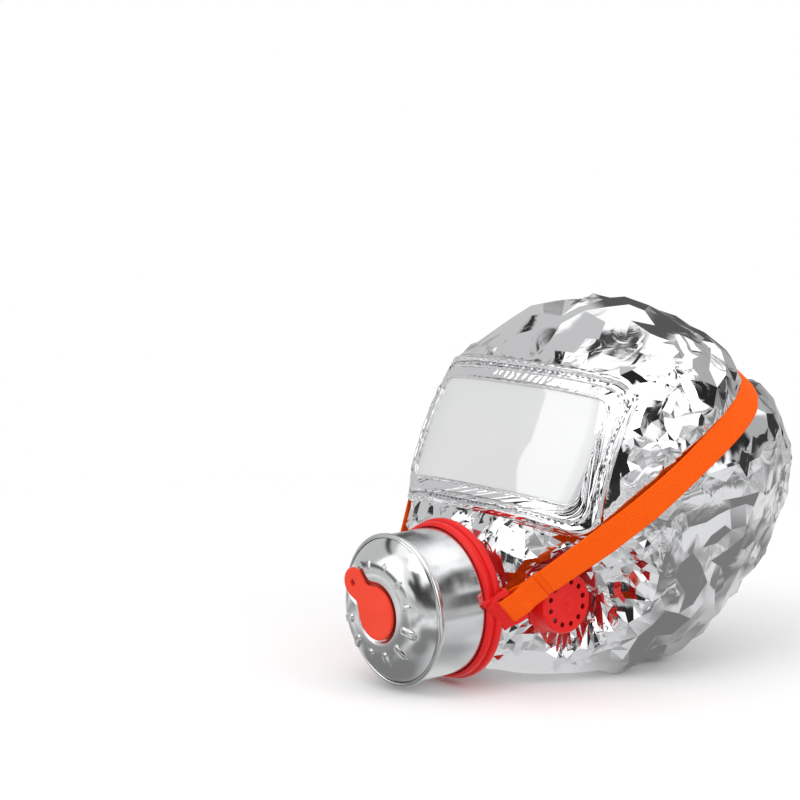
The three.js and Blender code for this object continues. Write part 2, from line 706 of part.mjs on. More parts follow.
function buildStrap() {
  add('strap_web', strapWeb(), webbing);
  const end = strapEnd();
  add('strap_end_left', carried(end, lugFrame(1)), webbing);
  add('strap_end_right', carried(end, lugFrame(-1)), webbing);
}

buildCanister();
add('seat_ring', seatRing(), redPlastic);
const clampFrom = ring.rear + 2 * GAP + FOIL;
add('hood_clamp_ring', inPart(tube(30, ring.port + GAP, clampFrom, clampFrom + 2.4)), redPlastic);
add('half_mask', halfMask(), silicone);
buildValves();
buildHood();
buildNeck();
buildStrap();

export default part;
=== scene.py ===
"""Looks for the smoke hood: crumpled foil hood, visor, steel canister, red ring and valves, webbing strap.

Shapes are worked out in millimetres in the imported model's frame (+Z up, the hood faces -Y), and are
scaled to metres when a mesh is made.
"""

import json
import math
from types import SimpleNamespace

import bmesh
import bpy
import numpy as np
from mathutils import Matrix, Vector
from mathutils.kdtree import KDTree


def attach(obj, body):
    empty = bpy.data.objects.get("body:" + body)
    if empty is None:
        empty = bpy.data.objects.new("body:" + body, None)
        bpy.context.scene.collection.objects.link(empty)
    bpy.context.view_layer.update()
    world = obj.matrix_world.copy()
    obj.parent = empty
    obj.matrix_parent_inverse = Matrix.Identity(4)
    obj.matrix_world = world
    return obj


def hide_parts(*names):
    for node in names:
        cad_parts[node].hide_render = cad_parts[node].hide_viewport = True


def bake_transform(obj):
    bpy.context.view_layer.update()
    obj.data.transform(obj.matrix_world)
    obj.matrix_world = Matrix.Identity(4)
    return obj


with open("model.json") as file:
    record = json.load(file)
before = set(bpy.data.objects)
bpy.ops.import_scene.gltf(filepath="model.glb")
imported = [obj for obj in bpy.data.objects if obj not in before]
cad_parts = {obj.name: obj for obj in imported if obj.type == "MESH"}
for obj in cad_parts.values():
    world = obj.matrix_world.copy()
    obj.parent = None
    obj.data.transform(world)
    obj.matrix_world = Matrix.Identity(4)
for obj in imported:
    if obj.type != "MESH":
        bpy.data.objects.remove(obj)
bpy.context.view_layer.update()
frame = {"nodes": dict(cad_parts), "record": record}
MM = 0.001

# ---- Driving dimensions, as in the CAD model ----------------------------------------------
FRONT_Y = -163.58
TILT = math.radians(2.3)
BEAD_Z = 53.0
CAP_DEPTH = 13.0
CAN_RADIUS, BEAD_RADIUS, INLET = 48.3, 50.0, 12.0
REAR_DEPTH = 54.0
RING_FRONT, RING_REAR, RING_OUTER, RING_INNER, RING_PORT = 51.0, 62.0, 53.0, 48.7, 24.2
PLUG_DISC, PLUG_TAB, PLUG_HOLE = 17.5, 9.0, 2.4
PLUG_TAB_AT = (-22.0, 17.0)
WINDOW_WIDTH, WINDOW_HEIGHT, WINDOW_CORNER = 165.0, 72.0, 9.0
WINDOW_LEAN = math.radians(24.2)
WINDOW_CENTRE = (113.0, 154.0)  # depth and height
BAND_X, BAND_Z = 14.0, 18.0  # width of the frame at the window's sides and along its top and bottom
VALVE_DEPTH, VALVE_Z, VALVE_FACE, VALVE_BASE = 104.5, 56.5, 67.0, 50.3
VALVE_RADIUS, VALVE_HOLE_RING, VALVE_HOLE = 20.2, 14.2, 1.8
POCKET_FLOOR, POCKET_RADIUS = 50.0, 24.0
STRAP_WIDTH, STRAP_THICK, STRAP_OFF, STRAP_PIVOT = 20.0, 1.2, 1.6, 26.0
STRAP_REAR, STRAP_DROP = 205.0, 21.6
RIB_PITCH, WEFT_PITCH = 1.4, 0.8  # of the webbing's weave along and across it
CENTRE_BACK = 178.0
BACK_SQUARE = 2.25
HEM = 6.0
# Height, half width, depth of the front and of the back, and squareness of the front half.
SECTIONS = np.array([
    [0, 44, 106, 211, 2], [5, 54, 93, 229, 2], [14, 66, 71, 251, 2], [34, 81, 50, 282, 1.7],
    [56, 94, 46, 304, 1.65], [78, 103, 52, 316, 1.9], [100, 109, 68, 325, 2.5],
    [124, 113, 84.5, 331, 3.1], [158, 112, 100, 324, 3.1], [190, 103, 114.5, 283, 2.9],
    [207, 92, 122.5, 261, 2.7], [224, 71, 143, 240, 2.2], [235, 50, 161, 227, 2],
    [241, 27, 176, 209, 2], [243.5, 0.5, 191, 192, 2],
], float)
BAR = np.array([58.0, FRONT_Y + 66.0, 59.0])  # middle of the lug's bar that the strap loops round


def behind(depth):
    return FRONT_Y + depth


def smooth(low, high, x):
    """0 below low, 1 above high and an easy curve between."""
    t = np.clip((x - low) / (high - low), 0, 1)
    return t * t * (3 - 2 * t)


# ---- Tilted frame of the canister ---------------------------------------------------------
def tilted(points):
    """Points of the canister's own frame (its axis along Y) in the part's frame."""
    p = np.asarray(points, float)
    c, s = math.cos(TILT), math.sin(TILT)
    out = np.empty_like(p)
    out[..., 0] = p[..., 0]
    out[..., 1] = c * p[..., 1] - s * p[..., 2] + behind(CAP_DEPTH * (1 - c))
    out[..., 2] = s * p[..., 1] + c * p[..., 2] + BEAD_Z - CAP_DEPTH * s
    return out


def untilted(points):
    p = np.asarray(points, float)
    c, s = math.cos(TILT), math.sin(TILT)
    y = p[..., 1] - behind(CAP_DEPTH * (1 - c))
    z = p[..., 2] - (BEAD_Z - CAP_DEPTH * s)
    return np.stack([p[..., 0], c * y + s * z, -s * y + c * z], -1)


# ---- Noise --------------------------------------------------------------------------------
def _hash(cells, seed):
    h = (cells[:, 0] * 73856093) ^ (cells[:, 1] * 19349663) ^ (cells[:, 2] * 83492791)
    h = h ^ (seed * 2654435761)
    h = (h ^ (h >> 13)) * 1274126177
    h = (h ^ (h >> 16)) & 0xFFFFFF
    return h / float(0x7FFFFF) - 1.0


def faceted(points, seed):
    """Noise from -1 to 1 that is linear inside small tetrahedra, so it has flat facets and creases."""
    flat = points.reshape(-1, 3)
    cell = np.floor(flat).astype(np.int64)
    part = flat - cell
    order = np.argsort(-part, axis=1)
    ordered = np.take_along_axis(part, order, 1)
    weights = [1 - ordered[:, 0], ordered[:, 0] - ordered[:, 1], ordered[:, 1] - ordered[:, 2], ordered[:, 2]]
    value = weights[0] * _hash(cell, seed)
    rows = np.arange(len(flat))
    for k in range(3):
        cell[rows, order[:, k]] += 1
        value += weights[k + 1] * _hash(cell, seed)
    return value.reshape(points.shape[:-1])


def turned_about(points, seed):
    """The points turned by a fixed rotation that depends on the seed."""
    a, b, c = (seed * k % 6.283 for k in (1.7, 2.9, 4.3))
    ca, sa, cb, sb, cc, sc = math.cos(a), math.sin(a), math.cos(b), math.sin(b), math.cos(c), math.sin(c)
    turn_z = np.array([[ca, -sa, 0], [sa, ca, 0], [0, 0, 1]])
    turn_x = np.array([[1, 0, 0], [0, cb, -sb], [0, sb, cb]])
    turn_y = np.array([[cc, 0, sc], [0, 1, 0], [-sc, 0, cc]])
    return points @ (turn_z @ turn_x @ turn_y).T


def crumple(points, size, seed):
    """Creased noise with facets of about that size in millimetres, its lattice bent out of line."""
    q = turned_about(points / size, seed)
    bend = np.stack([faceted(q * 0.6 + 11.3 * k, seed + 50 + k) for k in range(3)], -1)
    return faceted(q + 0.55 * bend, seed)


# ---- Hood surface -------------------------------------------------------------------------
def dense_sections():
    """The sections joined by a smooth curve, evenly spaced along the hood's profile."""
    last, before = SECTIONS[-1], SECTIONS[-2]
    over = np.array([before[0], -before[1], 2 * 191.5 - before[2], 2 * 191.5 - before[3], before[4]])
    rows = np.vstack([SECTIONS, over])
    step = np.linalg.norm(np.diff(rows[:, :2], axis=0), axis=1) + 1e-6
    s = np.concatenate([[0], np.cumsum(step)])
    slope = np.empty_like(rows)
    slope[1:-1] = (rows[2:] - rows[:-2]) / (s[2:] - s[:-2])[:, None]
    slope[0] = (rows[1] - rows[0]) / (s[1] - s[0])
    slope[-1] = slope[-2]
    at = np.linspace(0, s[len(SECTIONS) - 1], 1500)
    i = np.clip(np.searchsorted(s, at, "right") - 1, 0, len(SECTIONS) - 2)
    h = (s[i + 1] - s[i])[:, None]
    t = ((at - s[i]) / (s[i + 1] - s[i]))[:, None]
    return ((2 * t**3 - 3 * t**2 + 1) * rows[i] + (t**3 - 2 * t**2 + t) * h * slope[i]
            + (3 * t**2 - 2 * t**3) * rows[i + 1] + (t**3 - t**2) * h * slope[i + 1])


DENSE = dense_sections()
DENSE_Z = np.maximum.accumulate(DENSE[:, 0])


def section(z):
    """Half width, front depth, back depth and squareness at each height."""
    return [np.interp(z, DENSE_Z, DENSE[:, k]) for k in (1, 2, 3, 4)]


def round_section(half, front, back, square, turn, inset=0.0):
    """Sideways and depth coordinates of a section at angles from the front."""
    frontal = np.cos(turn) > 0
    power = np.where(frontal, square, BACK_SQUARE)
    a = np.maximum(half - inset, 0.3)
    b = np.maximum(np.where(frontal, CENTRE_BACK - front, back - CENTRE_BACK) - inset, 0.3)
    r = ((np.abs(np.cos(turn)) / b) ** power + (np.abs(np.sin(turn)) / a) ** power) ** (-1 / power)
    return r * np.sin(turn), CENTRE_BACK - r * np.cos(turn)


def hood_point(z, turn, inset=0.0):
    half, front, back, square = section(z)
    x, depth = round_section(half, front, back, square, turn, inset)
    return np.stack(np.broadcast_arrays(x, behind(depth), np.asarray(z, float)), -1)


def outside_by(points):
    """Above zero outside the hood's surface and below zero inside it."""
    half, front, back, square = section(points[..., 2])
    depth = points[..., 1] - behind(CENTRE_BACK)
    frontal = depth < 0
    power = np.where(frontal, square, BACK_SQUARE)
    reach = np.where(frontal, CENTRE_BACK - front, back - CENTRE_BACK)
    over = (points[..., 2] > SECTIONS[-1, 0]) | (points[..., 2] < 0)
    level = (np.abs(depth) / reach) ** power + (np.abs(points[..., 0]) / half) ** power - 1
    return np.where(over, 1.0, level)


# ---- Visor plane --------------------------------------------------------------------------
VISOR_OUT = np.array([0.0, -math.cos(WINDOW_LEAN), math.sin(WINDOW_LEAN)])
VISOR_UP = np.array([0.0, math.sin(WINDOW_LEAN), math.cos(WINDOW_LEAN)])
VISOR_AT = np.array([0.0, behind(WINDOW_CENTRE[0]), WINDOW_CENTRE[1]])


def crossing(is_outside, low, high, rounds):
    """How far along each line a test turns true, found by halving the range between low and high."""
    for _ in range(rounds):
        middle = (low + high) / 2
        outside = is_outside(middle)
        high = np.where(outside, middle, high)
        low = np.where(outside, low, middle)
    return low


def on_visor(x, up):
    """The hood's surface over a place of the visor's plane."""
    x, up = np.broadcast_arrays(np.asarray(x, float), np.asarray(up, float))
    base = VISOR_AT + x[..., None] * np.array([1.0, 0, 0]) + up[..., None] * VISOR_UP
    reach = crossing(lambda out: outside_by(base + out[..., None] * VISOR_OUT) > 0,
                     np.full(x.shape, -45.0), np.full(x.shape, 50.0), 34)
    return base + reach[..., None] * VISOR_OUT


def visor_distance(x, up, margin_x=0.0, margin_z=0.0):
    """Distance outside the window's rounded rectangle, grown by those margins."""
    corner = WINDOW_CORNER + margin_x * 0.5
    dx = np.abs(x) - (WINDOW_WIDTH / 2 + margin_x - corner)
    dz = np.abs(up) - (WINDOW_HEIGHT / 2 + margin_z - corner)
    outer = np.hypot(np.maximum(dx, 0), np.maximum(dz, 0))
    return outer + np.minimum(np.maximum(dx, dz), 0) - corner


def window_outline(share):
    """A closed outline in the visor's plane, from the window's edge (0) to the frame's (1)."""
    margin_x, margin_z = BAND_X * share, BAND_Z * share
    corner = WINDOW_CORNER + margin_x * 0.5
    w, h = WINDOW_WIDTH / 2 + margin_x - corner, WINDOW_HEIGHT / 2 + margin_z - corner
    points = []
    arc = np.linspace(0, math.pi / 2, 17)[1:-1]
    for quarter, (cx, cz) in enumerate([(w, h), (-w, h), (-w, -h), (w, -h)]):
        a = arc + quarter * math.pi / 2
        points += list(zip(cx + corner * np.cos(a), cz + corner * np.sin(a)))
        after = [(-w, h), (-w, -h), (w, -h), (w, h)][quarter]
        turn = (quarter + 1) * math.pi / 2
        start = (cx + corner * math.cos(turn), cz + corner * math.sin(turn))
        stop = (after[0] + corner * math.cos(turn), after[1] + corner * math.sin(turn))
        steps = 110 if quarter % 2 == 0 else 46
        for k in range(steps):
            t = k / (steps - 1)
            points.append((start[0] + (stop[0] - start[0]) * t, start[1] + (stop[1] - start[1]) * t))
    return np.array(points)


# ---- Strap line ---------------------------------------------------------------------------
def strap_height(turn):
    return STRAP_REAR - STRAP_DROP * (math.pi - turn) ** 2


def strap_point(turn):
    return hood_point(strap_height(turn), turn, -STRAP_OFF)


def unit(v):
    v = np.asarray(v, float)
    return v / np.maximum(np.linalg.norm(v, axis=-1, keepdims=True), 1e-9)


def touch_turn():
    turns = np.arange(math.pi / 4, math.pi * 0.6, 0.01)
    away = np.array([strap_point(t) for t in turns]) - BAR
    return turns[int(np.argmax(np.arctan2(away[:, 0], away[:, 1])))]


TOUCH = touch_turn()
LEAVE = unit(strap_point(TOUCH) - BAR)
ACROSS = unit([0, -LEAVE[2], LEAVE[1]])
OUT_OF_FACE = np.cross(LEAVE, ACROSS)


def lug_frame(points, side):
    """Points given along the webbing, across it and out of its face, placed at a lug."""
    p = np.asarray(points, float)
    out = BAR + p[..., :1] * LEAVE + p[..., 1:2] * ACROSS + p[..., 2:3] * OUT_OF_FACE
    return out * np.array([side, 1, 1])


# ---- Mesh helpers -------------------------------------------------------------------------
def grid_faces(rows, cols, wrap_rows=False, wrap_cols=False):
    i = np.arange(rows if wrap_rows else rows - 1)
    j = np.arange(cols if wrap_cols else cols - 1)
    a, b = np.meshgrid(i, j, indexing="ij")
    a2, b2 = (a + 1) % rows, (b + 1) % cols
    return np.stack([a * cols + b, a * cols + b2, a2 * cols + b2, a2 * cols + b], -1).reshape(-1, 4)


def scatter(points, spacing, seed):
    """Indexes of points picked at random, none nearer to an earlier one than that one's spacing."""
    tree = KDTree(len(points))
    for k, point in enumerate(points):
        tree.insert(point, k)
    tree.balance()
    taken = np.zeros(len(points), bool)
    picked = []
    for k in np.random.RandomState(seed).permutation(len(points)):
        if taken[k]:
            continue
        picked.append(k)
        taken[[hit[1] for hit in tree.find_range(points[k], spacing[k])]] = True
    return np.array(picked)


def joined_up(points, centre):
    """Triangles that join the points of a shape that is all seen from its centre, facing outwards."""
    seen = unit(points - centre)
    work = bmesh.new()
    for p in seen:
        work.verts.new(p)
    work.verts.index_update()
    bmesh.ops.convex_hull(work, input=work.verts[:], use_existing_faces=False)
    triangles = np.array([[v.index for v in f.verts] for f in work.faces])
    work.free()
    a, b, c = (seen[triangles[:, k]] for k in range(3))
    inward = (np.cross(b - a, c - a) * a).sum(1) < 0
    triangles[inward] = triangles[inward][:, ::-1]
    return triangles


def new_object(name, points, faces, outward):
    """An object in the scene from points in millimetres, its faces turned outwards if asked."""
    mesh = bpy.data.meshes.new(name)
    mesh.from_pydata((np.asarray(points, float).reshape(-1, 3) * MM).tolist(), [],
                     [list(map(int, f)) for f in faces])
    if outward:
        work = bmesh.new()
        work.from_mesh(mesh)
        bmesh.ops.recalc_face_normals(work, faces=work.faces)
        work.to_mesh(mesh)
        work.free()
    return placed(bpy.data.objects.new(name, mesh))


def placed(obj):
    bpy.context.scene.collection.objects.link(obj)
    return obj


def shade_smooth(obj, sharp):
    """Smooth shading, but for edges sharper than that angle in degrees."""
    obj.data.polygons.foreach_set("use_smooth", [True] * len(obj.data.polygons))
    if sharp:
        obj.data.set_sharp_from_angle(angle=math.radians(sharp))


def make(name, points, faces, slot, sharp=None, body="hood", material=None, outward=True, replaces=()):
    """A piece that rides on a body if one is named, in the material of its slot unless another is given,
    and stands for those CAD nodes."""
    obj = new_object(name, points, faces, outward)
    shade_smooth(obj, sharp)
    obj.data.materials.append(material or SLOT_MATERIALS[slot])
    if body:
        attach(obj, body)
    if replaces:
        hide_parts(*replaces)
    return obj


def make_tube(name, rings, slot, sharp=None, **rest):
    """A piece from rings of points that join up both ways."""
    faces = grid_faces(*rings.shape[:2], wrap_rows=True, wrap_cols=True)
    return make(name, rings, faces, slot, sharp, **rest)


def only_used(points, faces):
    """The points that the faces use, the faces renumbered for them, and the points' old numbers."""
    used, renumbered = np.unique(faces, return_inverse=True)
    return points[used], renumbered.reshape(faces.shape), used


def set_attribute(obj, name, values):
    made = obj.data.attributes.new(name, "FLOAT", "POINT")
    made.data.foreach_set("value", np.asarray(values, np.float32))


def fillet(outline, radius, steps=4):
    """A closed outline with its corners rounded."""
    pts = [np.array(p, float) for p in outline]
    out = []
    for i, p in enumerate(pts):
        a, b = pts[i - 1] - p, pts[(i + 1) % len(pts)] - p
        la, lb = np.linalg.norm(a), np.linalg.norm(b)
        cut = min(radius, 0.45 * la, 0.45 * lb)
        start, stop = p + a / la * cut, p + b / lb * cut
        for t in np.arange(steps + 1) / steps:
            out.append((1 - t) ** 2 * start + 2 * t * (1 - t) * p + t * t * stop)
    return np.array(out)


def full_turn(sides):
    return np.linspace(0, 2 * math.pi, sides, endpoint=False)


def distance_along(points):
    """The way along a line of points to each of them."""
    return np.concatenate([[0], np.cumsum(np.linalg.norm(np.diff(points, axis=0), axis=1))])


def revolve(outline, sides):
    """Rings of an outline of (radius, distance along Y) round the Y axis, as rows of points."""
    turn = full_turn(sides)
    r, y = outline[:, 0][:, None], outline[:, 1][:, None]
    return np.stack([r * np.sin(turn), np.broadcast_to(y, (len(outline), sides)), r * np.cos(turn)], -1)


def along_x(points, side):
    """Points drawn about the Y axis, placed about a side valve's axis."""
    p = np.asarray(points, float)
    return np.stack([p[..., 1] * side, p[..., 0] + behind(VALVE_DEPTH), p[..., 2] + VALVE_Z], -1)


def closed_rings(rings):
    """Points and faces of a closed piece from rings whose first and last are filled in."""
    rows, cols = rings.shape[:2]
    faces = [list(f) for f in grid_faces(rows, cols, wrap_cols=True)]
    faces.append(list(range(cols))[::-1])
    faces.append([(rows - 1) * cols + k for k in range(cols)])
    return rings.reshape(-1, 3), faces


def together(solids):
    """Points and faces of several closed ring solids as one."""
    points, faces = [], []
    for rings in solids:
        p, f = closed_rings(rings)
        faces += [[len(points) + k for k in face] for face in f]
        points += list(p)
    return points, faces


def drill(obj, solids):
    """Cuts closed ring solids out of a piece."""
    tool = new_object("cutter", *together(solids), outward=True)
    mod = obj.modifiers.new("holes", "BOOLEAN")
    mod.operation, mod.object, mod.solver = "DIFFERENCE", tool, "EXACT"
    depsgraph = bpy.context.evaluated_depsgraph_get()
    mesh = bpy.data.meshes.new_from_object(obj.evaluated_get(depsgraph))
    obj.modifiers.clear()
    obj.data = mesh
    bpy.data.objects.remove(tool)
    shade_smooth(obj, 40)


def hole(cx, cz, radius, ends, sides):
    """A round cutter along Y, as two rings of points."""
    return np.array([[[cx + radius * math.sin(a), y, cz + radius * math.cos(a)] for a in full_turn(sides)]
                     for y in ends])


# ---- Materials ----------------------------------------------------------------------------
class Tree:
    """A short way to lay out the nodes of a material or of the world."""

    def __init__(self, owner):
        owner.use_nodes = True
        self.owner = owner
        self.nodes = owner.node_tree.nodes
        self.links = owner.node_tree.links
        self.shader = self.nodes.get("Principled BSDF")
        self.coordinates = self.node("ShaderNodeTexCoord").outputs
        self.place = self.coordinates["Object"]

    def fill(self, socket, value):
        if isinstance(value, bpy.types.NodeSocket):
            self.links.new(value, socket)
        else:
            socket.default_value = value

    def node(self, kind, props=None, **inputs):
        """A node; an input is named, with _ for a space, or given by its number, as in i0."""
        made = self.nodes.new(kind)
        for key, value in (props or {}).items():
            setattr(made, key, value)
        for key, value in inputs.items():
            numbered = key[0] == "i" and key[1:].isdigit()
            self.fill(made.inputs[int(key[1:]) if numbered else key.replace("_", " ")], value)
        return made

    def set(self, **values):
        for key, value in values.items():
            self.fill(self.shader.inputs[key.replace("_", " ")], value)

    def noise(self, scale, detail, vector=None):
        return self.node("ShaderNodeTexNoise", Vector=vector or self.place, Scale=scale, Detail=detail,
                         Roughness=0.55).outputs["Fac"]

    def math(self, operation, a, b=0.0):
        return self.node("ShaderNodeMath", {"operation": operation}, i0=a, i1=b).outputs[0]

    def dot(self, a, b):
        made = self.node("ShaderNodeVectorMath", {"operation": "DOT_PRODUCT"}, i0=a, i1=tuple(b))
        return made.outputs["Value"]

    def attribute(self, name):
        return self.node("ShaderNodeAttribute", {"attribute_name": name}).outputs["Fac"]

    def spread(self, value, low, high, to_low, to_high, kind="LINEAR"):
        return self.node("ShaderNodeMapRange", {"interpolation_type": kind}, Value=value, From_Min=low,
                         From_Max=high, To_Min=to_low, To_Max=to_high).outputs["Result"]

    def colours(self, value, *stops):
        ramp = self.node("ShaderNodeValToRGB", Fac=value)
        for stop, (at, colour) in zip(ramp.color_ramp.elements, stops):
            stop.position = at
            stop.color = (*colour, 1)
        return ramp.outputs["Color"]

    def bump(self, height, strength, distance, under=None):
        made = self.node("ShaderNodeBump", Height=height, Strength=strength, Distance=distance)
        if under is not None:
            self.links.new(under, made.inputs["Normal"])
        return made.outputs["Normal"]

    def glow(self, strength):
        return self.node("ShaderNodeEmission", Color=(1, 1, 1, 1), Strength=strength).outputs[0]

    def mixed(self, share, a, b):
        return self.node("ShaderNodeMixShader", Fac=share, i1=a, i2=b).outputs[0]

    def is_glossy_ray(self):
        return self.node("ShaderNodeLightPath").outputs["Is Glossy Ray"]


def material_tree(name):
    return Tree(bpy.data.materials.new(name))


def foil_material():
    """Mirror-bright aluminised film: hairline creases over a smooth skin that is dull in patches."""
    t = material_tree("foil")
    amount = t.attribute("crumpling")
    patch = t.math("MULTIPLY", t.spread(t.noise(26.0, 3.0), 0.50, 0.62, 0.0, 1.0), amount)
    normal = None
    for scale, low, high, distance, gain, share in ((34.0, 0.78, 0.99, 0.0007, 0.25, amount),
                                                    (95.0, 0.72, 0.98, 0.0004, 0.22, patch)):
        lines = t.node("ShaderNodeTexNoise", {"noise_type": "RIDGED_MULTIFRACTAL"}, Vector=t.place,
                       Scale=scale, Detail=1.0, Offset=1.0, Gain=1.0, Distortion=0.6).outputs["Fac"]
        ridge = t.spread(lines, low, high, 0.0, 1.0)
        normal = t.bump(t.math("MULTIPLY", ridge, share), gain, distance, normal)
    normal = t.bump(t.noise(26.0, 1.0), 0.10, 0.0015, normal)
    rough = t.spread(t.noise(24.0, 3.0), 0.3, 0.7, 0.03, 0.11)
    t.set(Base_Color=(0.90, 0.905, 0.92, 1), Metallic=1.0, Roughness=rough, Normal=normal)
    return t.owner


def steel_material():
    """Deep-drawn steel: bright, with faint lines round the axis and soft smudges."""
    t = material_tree("canister_steel")
    drawn_out = t.node("ShaderNodeMapping", Vector=t.place, Scale=(18, 900, 18)).outputs["Vector"]
    lines = t.noise(1.0, 2.0, vector=drawn_out)
    smudge = t.noise(30.0, 4.0)
    rough = t.math("ADD", t.spread(smudge, 0.3, 0.7, 0.10, 0.19), t.spread(lines, 0.3, 0.7, 0.0, 0.04))
    normal = t.bump(lines, 0.05, 0.0002)
    normal = t.bump(t.noise(60.0, 2.0), 0.05, 0.001, normal)
    t.set(Base_Color=(0.80, 0.81, 0.82, 1), Metallic=1.0, Roughness=rough, Normal=normal)
    return t.owner


def moulded(name, light, dark, roughness, grain_depth=0.00005, specular=0.3, coat=0.0):
    """A moulded plastic or rubber: slight flow mottling, a fine grain and uneven gloss."""
    t = material_tree(name)
    flow = t.noise(28.0, 3.0)
    rough = t.spread(t.noise(70.0, 3.0), 0.3, 0.7, roughness - 0.06, roughness + 0.08)
    normal = t.bump(t.noise(900.0, 2.0), 0.35, grain_depth)
    normal = t.bump(flow, 0.2, 0.0004, normal)
    t.set(Base_Color=t.colours(flow, (0.3, dark), (0.7, light)), Roughness=rough, Normal=normal,
          Specular_IOR_Level=specular, Coat_Weight=coat, Coat_Roughness=0.25)
    return t.owner


def webbing_material():
    """Woven tape: ribs of weft across it, with painted shade darker between them, a fine fibre and a dry
    sheen.
    """
    t = material_tree("webbing")
    fibre = t.noise(1400.0, 3.0)
    patch = t.noise(90.0, 3.0)
    rib, weft = (t.math("ABSOLUTE", t.math("SINE", t.math("MULTIPLY", t.attribute(way), math.pi / pitch)))
                 for way, pitch in (("along", RIB_PITCH), ("across", WEFT_PITCH)))
    # Lighter on each rib and darker between the ribs: painted shade in the weave's grooves. The fibre and
    # patch noise are the tape's own uneven tone.
    shade = t.math("ADD", t.math("MULTIPLY", rib, 0.6),
                   t.math("ADD", t.math("MULTIPLY", fibre, 0.25), t.math("MULTIPLY", patch, 0.2)))
    colour = t.colours(shade, (0.2, (0.66, 0.056, 0.001)), (0.75, (0.96, 0.118, 0.002)))
    normal = t.bump(t.math("MULTIPLY", rib, weft), 0.5, 0.0003)
    normal = t.bump(fibre, 0.4, 0.00012, normal)
    t.set(Base_Color=colour, Roughness=t.spread(fibre, 0.2, 0.8, 0.62, 0.8), Normal=normal, Sheen_Weight=0.06,
          Sheen_Roughness=0.4, Specular_IOR_Level=0.1, Sheen_Tint=(1.0, 0.3, 0.1, 1))
    return t.owner


def film_material():
    """The visor's clear film over its pale protective sheet: milky, with a hard gloss and slow ripples."""
    t = material_tree("visor_film")
    haze = t.noise(14.0, 2.0)
    normal = t.bump(haze, 0.04, 0.0015)
    t.set(Base_Color=t.colours(haze, (0.3, (0.72, 0.73, 0.74)), (0.7, (0.77, 0.775, 0.78))),
          Roughness=t.spread(t.noise(50.0, 2.0), 0.3, 0.7, 0.03, 0.07), Transmission_Weight=0.12, IOR=1.45,
          Coat_Weight=1.0, Coat_Roughness=0.015, Coat_IOR=2.6, Normal=normal)
    return t.owner


def cloth_material(name, light, dark, scale):
    """A knit or felt: ribs of stitches over loose fibre."""
    t = material_tree(name)
    fibre = t.noise(scale * 1.6, 4.0)
    loops = t.node("ShaderNodeTexVoronoi", Vector=t.place, Scale=scale).outputs["Distance"]
    normal = t.bump(loops, 0.6, 0.0006)
    normal = t.bump(fibre, 0.4, 0.0003, normal)
    t.set(Base_Color=t.colours(fibre, (0.3, dark), (0.7, light)), Roughness=0.9, Normal=normal,
          Sheen_Weight=0.3)
    return t.owner


def grains_material(name, light, dark, scale):
    """A bed of grains."""
    t = material_tree(name)
    cells = t.node("ShaderNodeTexVoronoi", Vector=t.place, Scale=scale)
    shade = t.node("ShaderNodeSeparateColor", Color=cells.outputs["Color"]).outputs[0]
    normal = t.bump(cells.outputs["Distance"], 0.9, -0.0015)
    t.set(Base_Color=t.colours(shade, (0.1, dark), (0.9, light)), Roughness=0.75, Normal=normal)
    return t.owner


SLOT_MATERIALS = {
    "can_steel": steel_material(),
    "hood_foil": foil_material(),
    "red_plastic": moulded("red_plastic", (0.74, 0.010, 0.009), (0.66, 0.006, 0.006), 0.34, specular=0.25,
                           coat=0.08),
    "plug_rubber": moulded("plug_rubber", (0.84, 0.062, 0.028), (0.76, 0.046, 0.020), 0.55,
                           grain_depth=0.00008, specular=0.2),
    "mask_silicone": moulded("mask_silicone", (0.030, 0.031, 0.034), (0.016, 0.017, 0.019), 0.5),
    "valve_rubber": moulded("valve_rubber", (0.80, 0.77, 0.68), (0.70, 0.66, 0.57), 0.55),
    "lens_film": film_material(),
    "strap_webbing": webbing_material(),
    "cuff_knit": cloth_material("cuff_knit", (0.55, 0.16, 0.05), (0.34, 0.09, 0.03), 700.0),
    "white_plastic": moulded("white_plastic", (0.84, 0.84, 0.82), (0.78, 0.78, 0.76), 0.45),
    "filter_felt": cloth_material("filter_felt", (0.93, 0.92, 0.88), (0.80, 0.79, 0.75), 500.0),
    "carbon_grain": grains_material("carbon_grain", (0.06, 0.06, 0.062), (0.012, 0.012, 0.013), 900.0),
    "catalyst_grain": grains_material("catalyst_grain", (0.26, 0.17, 0.11), (0.10, 0.06, 0.04), 800.0),
    "desiccant_grain": grains_material("desiccant_grain", (0.85, 0.88, 0.92), (0.62, 0.66, 0.72), 700.0),
}
THREAD = cloth_material("thread", (0.34, 0.34, 0.35), (0.16, 0.16, 0.17), 1500.0)


def finish_cad_nodes():
    """The CAD nodes that stay get their slot's material."""
    slots = {s["node"]: s.get("material_slot") for s in frame["record"]["subparts"]}
    for name, obj in frame["nodes"].items():
        obj.data.materials.clear()
        obj.data.materials.append(SLOT_MATERIALS[slots[name]])


# ---- Camera, floor and light --------------------------------------------------------------
AZIMUTH, ELEVATION, DISTANCE = math.radians(52), math.radians(7.3), 1.62
AIM = Vector((-0.019, -0.129, 0.1857))
FLOOR_SIDES = 96
FLOOR_RADII = (50, 500, 1000, 2000, 4000, 9000, 30000)


def towards(azimuth, elevation):
    """The direction from the object to a viewer at those angles."""
    return Vector((math.sin(azimuth) * math.cos(elevation), -math.cos(azimuth) * math.cos(elevation),
                   math.sin(elevation)))


def pointed_at(obj, target, azimuth, elevation, distance):
    """Puts a camera or light at those angles from a target, looking at it."""
    away = towards(azimuth, elevation)
    obj.location = target + away * distance
    obj.rotation_euler = away.to_track_quat("Z", "Y").to_euler()


def add_camera():
    data = bpy.data.cameras.new("camera")
    data.lens = 112.5
    data.sensor_width = 36.0
    camera = placed(bpy.data.objects.new("camera", data))
    pointed_at(camera, AIM, AZIMUTH, ELEVATION, DISTANCE)
    bpy.context.scene.camera = camera


